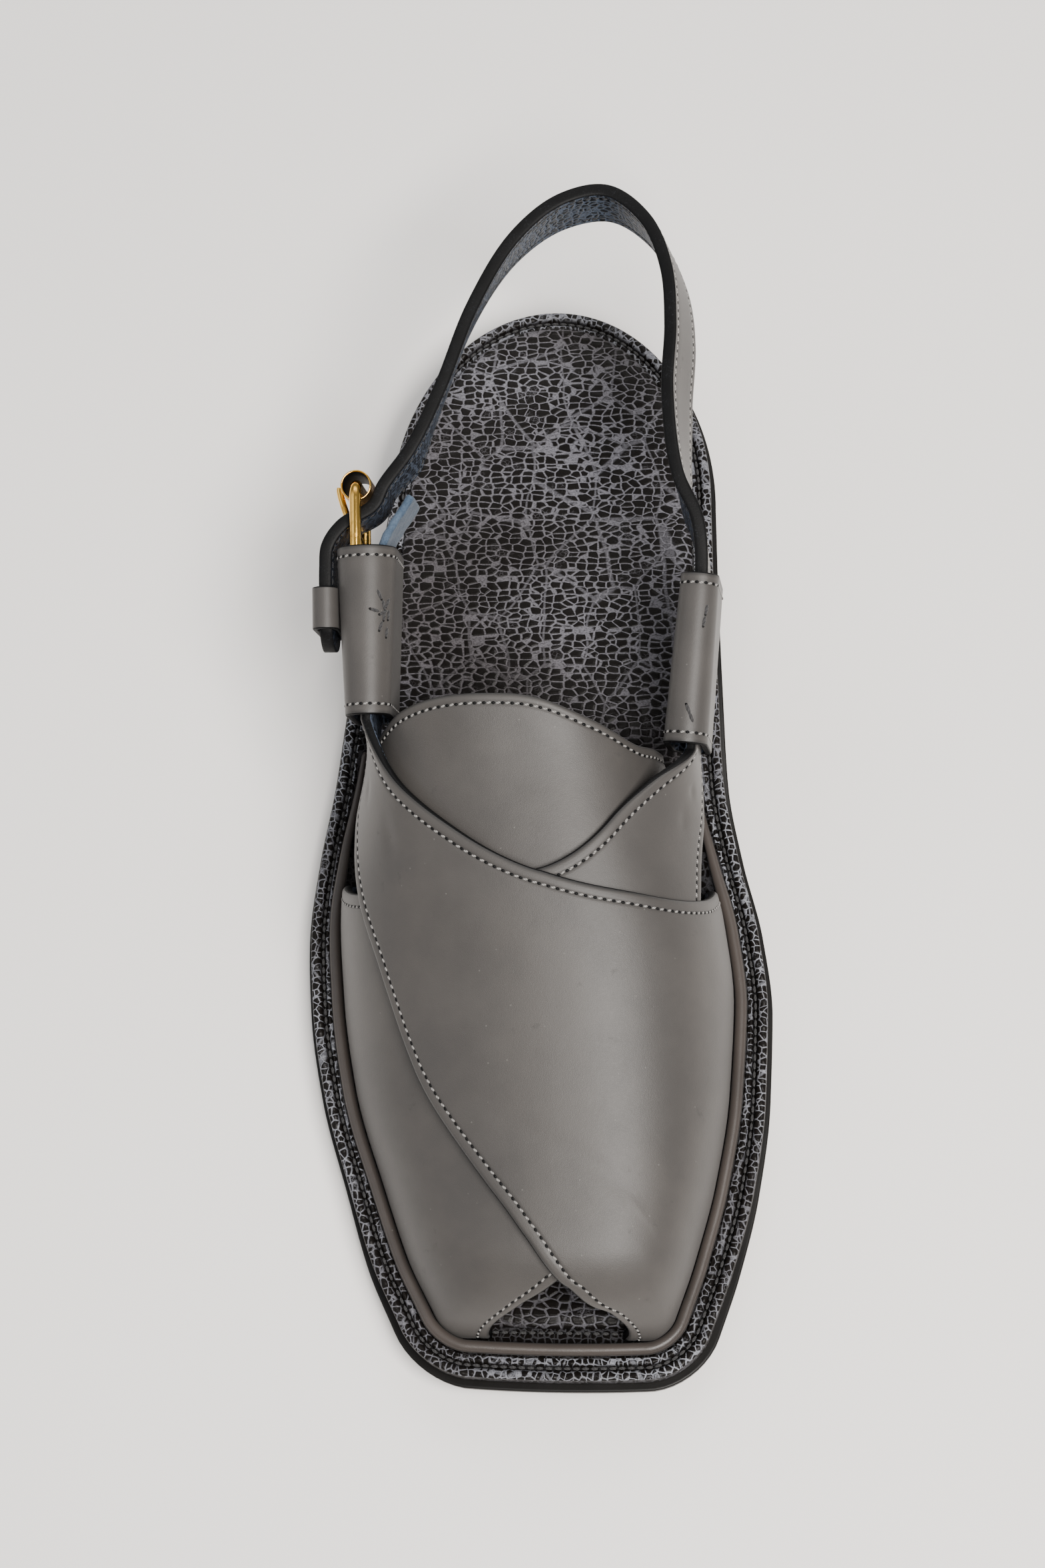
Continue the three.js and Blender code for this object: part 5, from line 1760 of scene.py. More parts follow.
@dataclass
class Strap:
    """One wide strap: a four-sided patch on the last whose narrow end leaves it for the ankle."""

    name: str
    last: LastShape
    ankle: AnkleShape
    top_rows: dict[str, Array]
    toe_rows: dict[str, Array]
    bench: Bench
    creases: tuple[tuple[float, float, float, float, float, float], ...] = ()
    wall: float = 3.0
    width: float = 24.0
    release: float = 0.34
    overlap: float = 11.0
    seam_in: float = 3.0
    side_share: float = 0.55
    corner_share: float = 0.22
    crease_run: float = 190.0
    crease_rise: float = 110.0

    def __post_init__(self) -> None:
        """Sets up the two edges."""
        front = self.last.toe_front()
        self.edges = []
        for rows in (self.top_rows, self.toe_rows):
            along = np.maximum(rows["along"], front)
            self.edges.append(Spline(np.column_stack([along, rows["around"], rows["lift"]])))

    def foot(self, w: Array) -> Array:
        """The way along the feather line from the top edge to the toe edge.

        Args:
            w: shares from the top edge to the toe edge.

        Returns:
            Rows of along, around and lift.
        """
        start, finish = self.edges[0].at(1.0), self.edges[1].at(1.0)
        front = self.last.toe_front()
        corner = front + self.last.corner() / self.last.sole.length
        side = np.sign(start[1])
        rest = 1 - self.side_share - self.corner_share
        down, turned = w / self.side_share, (w - self.side_share) / self.corner_share
        over = (w - 1 + rest) / rest
        along = np.where(w <= self.side_share, mix(start[0], corner, down),
                         np.where(turned <= 1, mix(corner, front, turned), front))
        around = np.where(over > 0, mix(side, finish[1], over), side)
        return np.stack([along, around, 0 * w], -1)

    def surface(self, u: Array, w: Array, t: Array, extra: Any) -> Array:
        """Points of the patch before its ankle end is led away.

        Args:
            u: shares of the way from the sleeve to the feather line.
            w: shares from the top edge to the toe edge.
            t: shares through the thickness.
            extra: height above the outer face, in millimetres.

        Returns:
            Points in millimetres.
        """
        last, sole = self.last, self.last.sole
        bulge = self.foot(w) - mix(self.edges[0].at(1.0), self.edges[1].at(1.0), w[..., None])
        place = mix(self.edges[0].at(u), self.edges[1].at(u), w[..., None])
        place = place + bulge * smoothstep(u, self.release, 1)[..., None]
        along, around, lift = place[..., 0], place[..., 1], place[..., 2]
        lifted = mix(lift * self.wall, (lift + 1) * self.wall, t) + extra
        point = last.point(along, around) + last.normal(along, around) * lifted[..., None]
        point[..., 2] += sole.board_top(sole.along(point[..., 1])) - sole.board_top(along)
        return point

    def held(self, back: Any, w: Array, t: Array, extra: Any = 0.0) -> Array:
        """Points of the straight end inside the sleeve."""
        out = self.ankle.strap_offset + (t - 0.5) * self.wall + extra
        return self.ankle.point(back, out, (0.5 - w) * self.width)

    def at(self, u: Any, w: Any, t: Any = 1.0, extra: Any = 0.0) -> Array:
        """Points of the strap.

        Args:
            u: share of the way from the sleeve to the feather line.
            w: share from the top edge to the toe edge.
            t: share through the thickness, 1 at the outer face.
            extra: height above that, in millimetres.

        Returns:
            Points in millimetres.
        """
        u, w, t, extra = np.broadcast_arrays(
            np.asarray(u, float), np.asarray(w, float), np.asarray(t, float), np.asarray(extra, float))
        away = self.held(-1.0, w, t) - self.surface(0 * u, w, t, 0 * extra)
        led = (1 - smoothstep(u, 0, self.release))[..., None]
        return self.surface(u, w, t, extra) + away * led

    def spacing(self, u: Array) -> Array:
        """Running length across the strap at each u, as rows over 80 even shares.

        Args:
            u: shares of the way from the sleeve to the feather line.

        Returns:
            A row of running lengths for each u.
        """
        w = np.linspace(0, 1, 80)
        line = self.at(u[:, None], w[None, :])
        gaps = np.linalg.norm(np.diff(line, axis=1), axis=2)
        return np.concatenate([np.zeros((len(u), 1)), np.cumsum(gaps, 1)], 1)

    def share_at(self, run: Array, inside: float, from_toe: bool) -> Array:
        """Share w at a distance inside one of the edges."""
        w = np.linspace(0, 1, run.shape[1])
        return np.array([np.interp(row[-1] - inside if from_toe else inside, row, w) for row in run])

    def sheet(self) -> Piece:
        """The strap as a closed plate with rounded, painted edges and a pressed seam line.

        Returns:
            The piece.
        """
        near = np.array([0, 0.3, 0.7, 1.2, 1.8, 2.3, 2.65, 3.0, 3.35, 3.7, 4.2, 5.0, 6.2])
        u = np.linspace(0, 1, 150)
        run = self.spacing(u)
        front = np.stack([self.share_at(run, d, False) for d in near], 1)
        back = np.stack([self.share_at(run, d, True) for d in near[::-1]], 1)
        middle = mix(front[:, -1:], back[:, :1], np.linspace(0, 1, 44)[None, 1:-1])
        w = np.concatenate([front, middle, back], 1)
        edge = np.concatenate([near, np.full(42, 9.0), near[::-1]])
        groove = -0.26 * dent(edge, self.seam_in, 0.42)
        rounding = -0.5 * np.exp(-((edge / 0.35) ** 1.4))
        relief = (groove + rounding)[None, :] + self.crease(u[:, None], w)
        held = np.linspace(self.overlap, 0, 9)[:-1, None]
        rows = w.shape[1]

        def layer(t: float, extra: Array) -> Array:
            """One face of the strap, from the sleeve to the feather line."""
            start = self.held(held, w[:1] + 0 * held, np.full((8, rows), t), extra[:1] + 0 * held)
            return np.concatenate([start, self.at(u[:, None], w, t, extra)], 0)

        outer = layer(1.0, relief)
        inner = layer(0.0, -rounding[None, :] + 0 * relief)
        steps = outer.shape[0]
        grid = [outer, inner]
        for t, bulge in ((0.78, 0.22), (0.5, 0.30), (0.22, 0.22)):
            flat = layer(t, 0 * relief)
            rim = [flat[:, 0] + bulge * unit(flat[:, 0] - flat[:, 3]),
                   flat[:, -1] + bulge * unit(flat[:, -1] - flat[:, -4])]
            grid.extend(rim)
        faces, kinds = plate_faces(steps, rows, 3)
        # Darkened burnished edge, and painted shade along the seam line.
        burnish_and_seam_shade = dent(edge, 0, 0.5) + 0.42 * dent(edge, self.seam_in, 0.5)
        points = np.vstack([part.reshape(-1, 3) for part in grid])
        marks = np.zeros(len(points))
        marks[: steps * rows] = np.tile(burnish_and_seam_shade, steps)
        return Piece(self.name, points, faces, self.bench.finishes.hide(), kinds, {"burnish_and_shade": marks})

    def crease(self, u: Array, w: Array) -> Array:
        """Soft troughs and ridges, given in the strap's list of creases.

        Args:
            u: shares of the way from the sleeve to the feather line.
            w: shares from the top edge to the toe edge.

        Returns:
            Height of the leather at each place, in millimetres.
        """
        total = 0 * u + 0 * w
        for at_u, at_w, turn, length, width, depth in self.creases:
            run, rise = (u - at_u) * self.crease_run, (w - at_w) * self.crease_rise
            cos, sin = math.cos(math.radians(turn)), math.sin(math.radians(turn))
            on, off = run * cos + rise * sin, rise * cos - run * sin
            total = total + depth * np.exp(-((on / length) ** 2) - (off / width) ** 2)
        return total

    def seam_paths(self, inside: float) -> list[tuple[Array, Array]]:
        """Seam lines inside both long edges, with the leather's normals.

        Args:
            inside: distance of the lines inside the edges.

        Returns:
            Each line with its normals.
        """
        u = np.linspace(0, 0.995, 260)
        run = self.spacing(u)
        paths = []
        for from_toe in (False, True):
            w = self.share_at(run, inside, from_toe)
            line = self.at(u, w, 1.0, -0.16)
            beside = self.at(u, w + 0.01, 1.0, -0.16) - line
            normals = path_normals(line, beside)
            away = self.at(u, w, 1.0, 1.0) - line
            normals *= np.sign(np.sum(normals * away, -1, keepdims=True))
            paths.append((line, normals))
        return paths

    def build(self, seam: Seam, *nodes: str) -> None:
        """Makes the strap and adds its seam lines to the upper's stitching.

        Args:
            seam: the seam that takes the stitch lines.
            nodes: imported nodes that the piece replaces.
        """
        self.bench.piece(self.sheet(), Slot.LEATHER, *nodes)
        for line, normals in self.seam_paths(self.seam_in):
            seam.along(line, normals)


@dataclass
class Tongue:
    """Wavy tongue under both straps."""

    last: LastShape
    bench: Bench
    wall: float = 2.0
    clear: float = 0.45
    front: float = 0.34
    back: float = 0.532
    seam_in: float = 2.3

    rows = table("around reach", (-0.66, 0.529), (-0.56, 0.532), (-0.40, 0.537), (-0.02, 0.541),
                 (0.27, 0.526), (0.50, 0.517), (0.66, 0.524), (0.75, 0.528))

    def at(self, j: Array, inside: Any, depth: Any) -> Array:
        """Points of the tongue.

        Args:
            j: shares across the tongue.
            inside: distances inside its top edge.
            depth: depths under the last's surface.

        Returns:
            Points in millimetres.
        """
        around = mix(self.rows["around"][0], self.rows["around"][-1], j)
        top = column(self.rows, "reach", "around")(around)
        along = top - np.asarray(inside) / self.last.sole.length
        point = self.last.point(along, around)
        return point - self.last.normal(along, around) * np.asarray(depth)[..., None]

    def build(self, seam: Seam) -> None:
        """Makes the tongue and adds its seam line.

        Args:
            seam: the seam that takes the stitch lines.
        """
        reach = (self.back - self.front) * self.last.sole.length
        near = np.array([0, 0.3, 0.7, 1.2, 1.7, 2.1, 2.5, 2.9, 3.4, 4.2])
        inside = np.concatenate([near, np.linspace(5.5, reach, 34)])
        j = np.linspace(0, 1, 110)
        rounding = 0.45 * np.exp(-((inside / 0.35) ** 1.4))
        groove = 0.22 * dent(inside, self.seam_in, 0.4)
        steps, rows = len(j), len(inside)
        across, down = np.meshgrid(j, inside, indexing="ij")
        outer = self.at(across, down, self.clear + rounding + groove + 0 * down)
        inner = self.at(across, down, self.clear + self.wall - rounding + 0 * down)
        faces, kinds = plate_faces(steps, rows)
        # Darkened burnished edge, and painted shade along the seam line.
        burnish_and_seam_shade = dent(inside, 0, 0.45) + 0.4 * dent(inside, self.seam_in, 0.5)
        marks = np.concatenate([np.tile(burnish_and_seam_shade, steps), np.zeros(steps * rows)])
        points = np.vstack([outer.reshape(-1, 3), inner.reshape(-1, 3)])
        piece = Piece("wavy_tongue", points, faces, self.bench.finishes.hide(), kinds,
                      {"burnish_and_shade": marks})
        self.bench.piece(piece, Slot.LEATHER, "tongue")
        share = np.linspace(0.01, 0.99, 160)
        line = self.at(share, np.full(160, self.seam_in), np.full(160, self.clear + 0.12))
        around = mix(self.rows["around"][0], self.rows["around"][-1], share)
        top = column(self.rows, "reach", "around")(around)
        seam.along(line, self.last.normal(top, around))


@dataclass
class Tube:
    """A leather band closed round a flat room: a sleeve or the keeper."""

    name: str
    ankle: AnkleShape
    bench: Bench
    wall: float
    start: float
    stop: float
    middle_out: float
    half: Callable[[Any], Array]
    height: float
    seams: tuple[float, ...] = ()
    size: int = 84

    def surface(self, back: Any, depth: Any) -> Array:
        """Rings of the tube at distances back, each a depth under the outer face.

        Args:
            back: distances back from the mouth.
            depth: each ring's depth under the outer face.

        Returns:
            One ring of points for each distance.
        """
        back, depth = np.atleast_1d(back), np.atleast_1d(depth)
        rings = []
        for b, d in zip(back, depth):
            out, up = flat_ring(self.half(b) - d, self.height - d, self.size)
            rings.append(self.ankle.point(b, self.middle_out + out, up))
        return np.array(rings)

    def build(self, slot: Slot, node: str, seam: Seam) -> None:
        """Makes the tube and adds its seam rows.

        Args:
            slot: the record's material slot.
            node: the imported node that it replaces.
            seam: the seam that takes the stitch lines.
        """
        inner = np.linspace(self.start + 0.35, self.stop - 0.35, 46)
        press = sum((0.2 * dent(inner, s, 0.4) for s in self.seams), 0 * inner)
        back = [*inner, self.stop - 0.08, self.stop, self.stop, self.stop - 0.08,
                *inner[::-1], self.start + 0.08, self.start, self.start, self.start + 0.08]
        w = self.wall
        lip, turn = 0.1, 0.42
        outside = [*press, lip, turn, w - turn, w - lip]
        depth = [*outside, *(0 * inner + w), w - lip, w - turn, turn, lip]
        rings = self.surface(np.array(back), np.array(depth))
        count, n = len(back), len(inner)
        faces = loop_faces(count, self.size, closed=True)
        row = np.repeat(np.arange(count), self.size)
        kinds = np.where(row < n - 1, 0, np.where(row < n + 4, 1, np.where(row < 2 * n + 3, 2, 1)))
        # Painted shade along the seam rows, and darkened burnished ends.
        burnish_and_seam_shade = np.zeros(count)
        burnish_and_seam_shade[:n] = sum((0.4 * dent(inner, s, 0.5) for s in self.seams), 0 * inner)
        burnish_and_seam_shade[[0, n - 1]] = 0.8
        marks = {"burnish_and_shade": np.repeat(burnish_and_seam_shade, self.size)}
        hide = self.bench.finishes.hide()
        piece = Piece(self.name, rings.reshape(-1, 3), faces, hide, kinds.tolist(), marks)
        self.bench.piece(piece, slot, node)
        for s in self.seams:
            line, lower = self.surface([s, s], [0.08, 1.0])
            seam.along(line, unit(line - lower), True)


def sweep(
    middle: Array, across: Array, up: Array, section: Array, closed: bool = False
) -> tuple[Array, list[tuple[int, ...]]]:
    """A bar of one section along stations.

    Args:
        middle: each station's middle.
        across: each station's first direction.
        up: each station's second direction.
        section: the section's points, for one station or for each.
        closed: whether the last station joins the first.

    Returns:
        Points and faces.
    """
    section = np.broadcast_to(section, (len(middle), *section.shape[-2:]))
    points = middle[:, None] + section[..., :1] * across[:, None] + section[..., 1:] * up[:, None]
    count, size = points.shape[:2]
    faces = loop_faces(count, size, closed=closed)
    if not closed:
        faces += end_faces(count, size)
    return points.reshape(-1, 3), faces


def circle(radius: float, sides: int) -> Array:
    """A round section."""
    turn = 2 * np.pi * (np.arange(sides) + 0.5) / sides
    return radius * np.stack([np.cos(turn), np.sin(turn)], -1)


@dataclass
class HeelBand:
    """Heel strap, its keeper and the suede tab behind the buckle."""

    lateral: AnkleShape
    medial: AnkleShape
    bench: Bench
    sole: SoleShape
    width: float = 18.0
    wall: float = 3.3
    height: float = 84.0
    reach: float = 16.4
    frame_offset: float = 2.6
    roller: float = 8.0
    keeper_place: float = 28.0
    keeper_length: float = 11.0
    keeper_wall: float = 1.4
    tip_place: float = 18.0
    tip_rounding: float = 6.0
    tab_wall: float = 2.1
    tab_width: float = 17.0
    tab_reach: float = 13.5
    tab_bend: float = 9.0
    seam_in: float = 2.4
    strap_half: float = 1.5
    hole_places: tuple[float, ...] = (17.5, 30.0, 58.0, 70.0)

    rows = table(
        "along across height lean",
        (0.705, 0.347, 0.865, 0), (0.745, 0.304, 0.895, 9), (0.815, 0.282, 0.938, 15),
        (0.878, 0.287, 0.965, 15), (0.930, 0.276, 0.985, 12), (0.974, 0.232, 0.996, 9),
        (1.001, 0.150, 1.000, 7), (0.993, 0.053, 1.000, 8), (0.958, -0.042, 0.994, 11),
        (0.893, -0.127, 0.980, 13), (0.820, -0.188, 0.960, 12), (0.765, -0.247, 0.938, 7),
    )

    def strip_place(self) -> float:
        """Distance out of the strap's free end, beyond the sleeve and under the keeper."""
        fit = self.sole.fit
        return float(self.lateral.half(self.keeper_place)) + 2 * fit + self.keeper_wall + self.wall / 2

    def stations(self, per_row: int = 14) -> tuple[Array, Array, Array, Array]:
        """Middles, directions inwards and up, and share of full height along the strap.

        Args:
            per_row: stations for each span of the path.

        Returns:
            Middles, directions inwards, directions up and shares of full height.
        """
        fit, edge, length = self.sole.fit, self.width / 2, self.lateral.length
        inside = self.medial.strap_offset - self.strap_half - 0.7 * fit - self.wall / 2
        behind = self.frame_offset - self.roller / 2 - 5 * fit - self.wall / 2
        end, strip = length + self.reach, self.strip_place()
        points, ups = [], []
        for back, out in ((length * 0.18, inside), (length * 0.32, inside),
                          (length * 0.69, inside + 1.6), (length, inside + 2)):
            points.append(self.medial.point(back, out, edge))
            ups.append(self.medial.frame()[3])
        r = self.rows
        x, z = r["across"] * self.sole.ball, r["height"] * self.height
        place = np.column_stack([x, self.sole.y(r["along"]), z])
        for i in range(len(place)):
            way = unit((place[min(i + 1, len(place) - 1)] - place[max(i - 1, 0)]) * (1, 1, 0))
            lean = math.radians(r["lean"][i])
            points.append(place[i])
            ups.append(np.array([-way[1] * math.sin(lean), way[0] * math.sin(lean), math.cos(lean)]))
        for back, out in ((end, behind), (end - self.roller * 0.66, behind + self.wall * 0.85),
                          (length + self.reach * 0.38, self.frame_offset + self.wall * 1.15),
                          (length + self.reach * 0.06, strip - 0.6), (length - self.reach * 0.3, strip),
                          (self.keeper_place, strip), (self.tip_place, strip)):
            points.append(self.lateral.point(back, out, edge))
            ups.append(self.lateral.frame()[3])
        spans = len(points) - 1
        t = np.linspace(0, 1, spans * per_row + 1)
        close = 1 - np.array([0.6, 0.3, 0.12, 0.04]) / spans / 3
        t = np.sort(np.concatenate([t, close]))
        path, rise = Spline(points), Spline(ups)
        way, up = path.way(t), rise.at(t)
        up = unit(up - np.sum(up * way, -1, keepdims=True) * way)
        across = unit(np.cross(up, way))
        left = (1 - t) * spans * (self.keeper_place - self.tip_place)
        tall = np.sqrt(np.maximum(1 - np.maximum(1 - left / self.tip_rounding, 0) ** 2, 0.02))
        return path.at(t) - up * edge, across, up, tall

    def section(self) -> tuple[Array, Array, Array]:
        """Half section of the strap: points, the finish of each side and its dark mark of burnished edges
        and painted shade along the seam lines.

        Returns:
            The points, each side's finish and each point's dark mark.
        """
        u, v = self.wall / 2, self.width / 2
        inner = [-v + 0.35, -v + 0.8, -v + 1.6, -v + 2.0, -v + 2.4, -v + 2.8, -v + 3.3, -v + 5.5, 0.0]
        half = np.array([*inner, *[-x for x in inner[:-1][::-1]]])
        press = dent(np.abs(half), v - self.seam_in, 0.4)
        dip = 0.2 * press
        ends = np.array([(u - 0.25, -v + 0.1), (0.5 * u, -v - 0.02), (-0.5 * u, -v - 0.02),
                         (-u + 0.25, -v + 0.1)])
        right = np.column_stack([u - dip, half])
        left = np.column_stack([-u + dip, half])[::-1]
        points = np.vstack([right, ends * (1, -1), left, ends[::-1]])
        n = len(half)
        kinds = np.array([2] * (n - 1) + [1] * 5 + [0] * (n - 1) + [1] * 5)
        # Darkened burnished edges, and painted shade along the seam lines.
        dark = 0.35 * press + dent(np.abs(half), v, 0.5)
        marks = np.concatenate([dark, np.ones(4), dark[::-1], np.ones(4)])
        return points, kinds, np.clip(marks, 0, 1)

    def strap(self, seam: Seam, inner: Seam) -> Piece:
        """The band from inside the medial sleeve round the heel to its rounded tip.

        Args:
            seam: the outer side's stitches.
            inner: the lining side's stitches.

        Returns:
            The piece.
        """
        middle, across, up, tall = self.stations()
        section, kinds, marks = self.section()
        sections = np.repeat(section[None], len(middle), 0)
        sections[..., 1] *= tall[:, None]
        points, faces = sweep(middle, across, up, sections)
        order = np.tile(kinds, len(middle) - 1).tolist() + [1, 1]
        line = self.width / 2 - self.seam_in
        keep = slice(6, -16)
        for side in (1, -1):
            for out in (1, -1):
                face = middle + out * (self.wall / 2 - 0.1) * across + side * line * up
                (inner if out > 0 else seam).along(face[keep], (out * across)[keep])
        burnish_and_shade = {"burnish_and_shade": np.tile(marks, len(middle))}
        return Piece("heel_band", points, faces, self.bench.finishes.hide(), order, burnish_and_shade)

    def holes(self) -> Piece:
        """Punched holes in the band beside the buckle, as sunk discs on its outer face painted dark as
        the holes' shade.

        Returns:
            The piece.
        """
        middle, across, up, _ = self.stations()
        run = running(middle)
        sides, cup = 20, ((1.55, 0.02), (1.25, 0.16), (1.1, 0.04))
        turn = turns(sides)
        points, faces = [], []
        for before_tip in self.hole_places:
            i = int(np.argmin(np.abs(run - (run[-1] - before_tip))))
            way = np.cross(across[i], up[i])
            first = len(points) * sides
            for radius, sink in cup:
                ring = middle[i] - (self.wall / 2 - 0.12 + sink) * across[i]
                disc = np.cos(turn)[:, None] * up[i] + np.sin(turn)[:, None] * way
                points.append(ring + radius * disc)
            faces += loop_faces(len(cup), sides, first) + end_faces(len(cup), sides, first)
        return Piece("punched_hole_shade", np.vstack(points), faces, [self.bench.finishes.hole_shade])

    def tab(self) -> Piece:
        """Suede tab from inside the lateral sleeve to behind the buckle.

        Returns:
            The piece.
        """
        inside = self.lateral.strap_offset - self.strap_half - self.sole.fit - self.tab_wall / 2
        length = self.lateral.length
        path = Spline([self.lateral.point(3, inside, 0), self.lateral.point(length * 0.5, inside, 0),
                       self.lateral.point(length, inside - self.tab_bend * 0.13, 0),
                       self.lateral.point(length + self.tab_reach, inside - self.tab_bend, 0)])
        t = np.concatenate([np.linspace(0, 0.985, 70), [0.992, 0.997, 1.0]])
        way, up = path.way(t), self.lateral.frame()[3]
        across = unit(np.cross(way, up))
        v = self.tab_width / 2
        turn = np.linspace(-np.pi / 2, np.pi / 2, 10)
        u = self.tab_wall / 2
        flat = np.linspace(-v + u, v - u, 16)[1:-1]
        right = np.column_stack([np.full(14, u), flat])
        turn = turn + np.pi / 2
        top = np.column_stack([u * np.cos(turn), v - u + u * 0.9 * np.sin(turn)])
        section = np.vstack([right, top, -right, -top])
        scale = np.ones(len(t))
        scale[-3:] = (0.96, 0.86, 0.62)
        sections = section[None] * np.stack([scale, np.minimum(1, scale + 0.3)], -1)[:, None]
        points, faces = sweep(path.at(t), across, np.tile(up, (len(t), 1)), sections)
        wobble = 0.12 * np.sin(points[:, 1] * 1.7) * np.sin(points[:, 2] * 1.3)
        points = points + wobble[:, None] * self.lateral.frame()[2]
        return Piece("suede_tab", points, faces, [self.bench.finishes.suede])

    def build(self, seam: Seam) -> None:
        """Makes the band, its keeper and the tab.

        Args:
            seam: the seam that takes the stitch lines.
        """
        bench, fit = self.bench, self.sole.fit
        inner = Seam("lining_seam", bench.finishes.dark_thread, bench.finishes.hole_shade, **BAND_STITCHES)
        bench.piece(self.strap(seam, inner), Slot.STRAP, "heel_strap")
        bench.seam(inner, Slot.STRAP)
        bench.piece(self.holes(), Slot.STRAP)
        room = self.wall / 2 + fit
        half, start = self.keeper_length / 2, self.keeper_place
        keeper = Tube("leather_keeper", self.lateral, bench, self.keeper_wall, start - half,
                      start + half, self.strip_place(), lambda back: room + self.keeper_wall,
                      self.width / 2 + fit + room + self.keeper_wall)
        keeper.build(Slot.LEATHER, "keeper_loop", seam)
        bench.piece(self.tab(), Slot.SUEDE, "chafe_tab")


@dataclass
class Buckle:
    """Brass roller buckle: a bent wire frame, a roller on its far bar, and a prong."""

    ankle: AnkleShape
    bench: Bench
    wire: float = 3.0
    corner: float = 3.6
    grip: float = 8.0
    reach: float = 16.4
    offset: float = 2.6
    roller: float = 8.0
    roller_wall: float = 0.5
    prong: float = 1.8
    rail: float = 10.9
    fit: float = 0.3

    def frame(self) -> Piece:
        """The wire frame.

        Returns:
            The piece.
        """
        start, end = self.ankle.length - self.grip, self.ankle.length + self.reach
        _, back_way, out_way, up_way = self.ankle.frame()
        middles, across = [], []
        corners = ((end, self.rail), (start, self.rail), (start, -self.rail), (end, -self.rail))
        for turn, (back, up) in enumerate(corners):
            b = back + (-self.corner if back > self.ankle.length else self.corner)
            v = up + (-self.corner if up > 0 else self.corner)
            angle = (turn + np.linspace(0, 1, 12)) * np.pi / 2
            cos, sin = np.cos(angle), np.sin(angle)
            round_back, round_up = b + self.corner * cos, v + self.corner * sin
            middles.append(self.ankle.point(round_back, self.offset + 0 * cos, round_up))
            across.append(cos[:, None] * back_way + sin[:, None] * up_way)
        middle, across = np.vstack(middles), np.vstack(across)
        outwards = np.tile(out_way, (len(middle), 1))
        points, faces = sweep(middle, across, outwards, circle(self.wire / 2, 24), True)
        return Piece("brass_frame", points, faces, [self.bench.finishes.brass])

    def roll(self) -> Piece:
        """The roller, a thin rolled tube with rounded rims, its bore painted dark as shade.

        Returns:
            The piece.
        """
        half = self.rail - self.wire / 2 - self.fit
        outer, inner = self.roller / 2, self.roller / 2 - self.roller_wall
        profile = [(-half + 0.2, outer), *[(x, outer) for x in np.linspace(-half + 1, half - 1, 9)],
                   (half - 0.2, outer), (half - 0.05, outer - 0.12), (half, outer - 0.25),
                   (half - 0.05, inner + 0.1), (half - 0.25, inner), (0, inner), (-half + 0.25, inner),
                   (-half + 0.05, inner + 0.1), (-half, outer - 0.25), (-half + 0.05, outer - 0.12)]
        sides, shaded_bore_rows = 56, (14, 15)
        turn = turns(sides)
        end = self.ankle.length + self.reach
        rings = [self.ankle.point(end + r * np.cos(turn), self.offset + r * np.sin(turn), up)
                 for up, r in profile]
        faces = loop_faces(len(rings), sides, closed=True)
        # The bore's faces take the near-black finish: painted shade inside the roller.
        inside = np.isin(np.arange(len(faces)) // sides, shaded_bore_rows).astype(int).tolist()
        finishes = self.bench.finishes
        return Piece("brass_roller", np.vstack(rings), faces, [finishes.brass, finishes.hole_shade], inside)

    def tongue(self) -> Piece:
        """The prong, from the held bar out through the strap and over the roller.

        Returns:
            The piece.
        """
        rest = self.offset + self.roller / 2 + self.fit + self.prong / 2
        start = self.ankle.length - self.grip + self.wire / 2 + self.fit
        end = self.ankle.length + self.reach
        path = Spline([
            self.ankle.point(start, self.offset - 1, 0),
            self.ankle.point(mix(start, end, 0.4), self.offset, 0),
            self.ankle.point(mix(start, end, 0.72), mix(self.offset, rest, 0.66), 0),
            self.ankle.point(end, rest, 0),
            self.ankle.point(end + 1, rest - 0.1, 0)])
        t = np.concatenate([np.linspace(0, 0.96, 60), [0.975, 0.988, 0.996, 1.0]])
        scale = np.ones(len(t))
        scale[-4:] = (0.93, 0.78, 0.55, 0.25)
        up = np.tile(self.ankle.frame()[3], (len(t), 1))
        across = unit(np.cross(path.way(t), up))
        section = circle(self.prong / 2, 18)[None] * scale[:, None, None]
        points, faces = sweep(path.at(t), across, up, section)
        return Piece("brass_prong", points, faces, [self.bench.finishes.brass])

    def build(self) -> None:
        """Makes the buckle's three pieces."""
        self.bench.piece(self.frame(), Slot.BRASS, "buckle_frame")
        self.bench.piece(self.roll(), Slot.BRASS, "buckle_roller")
        self.bench.piece(self.tongue(), Slot.BRASS, "buckle_prong")


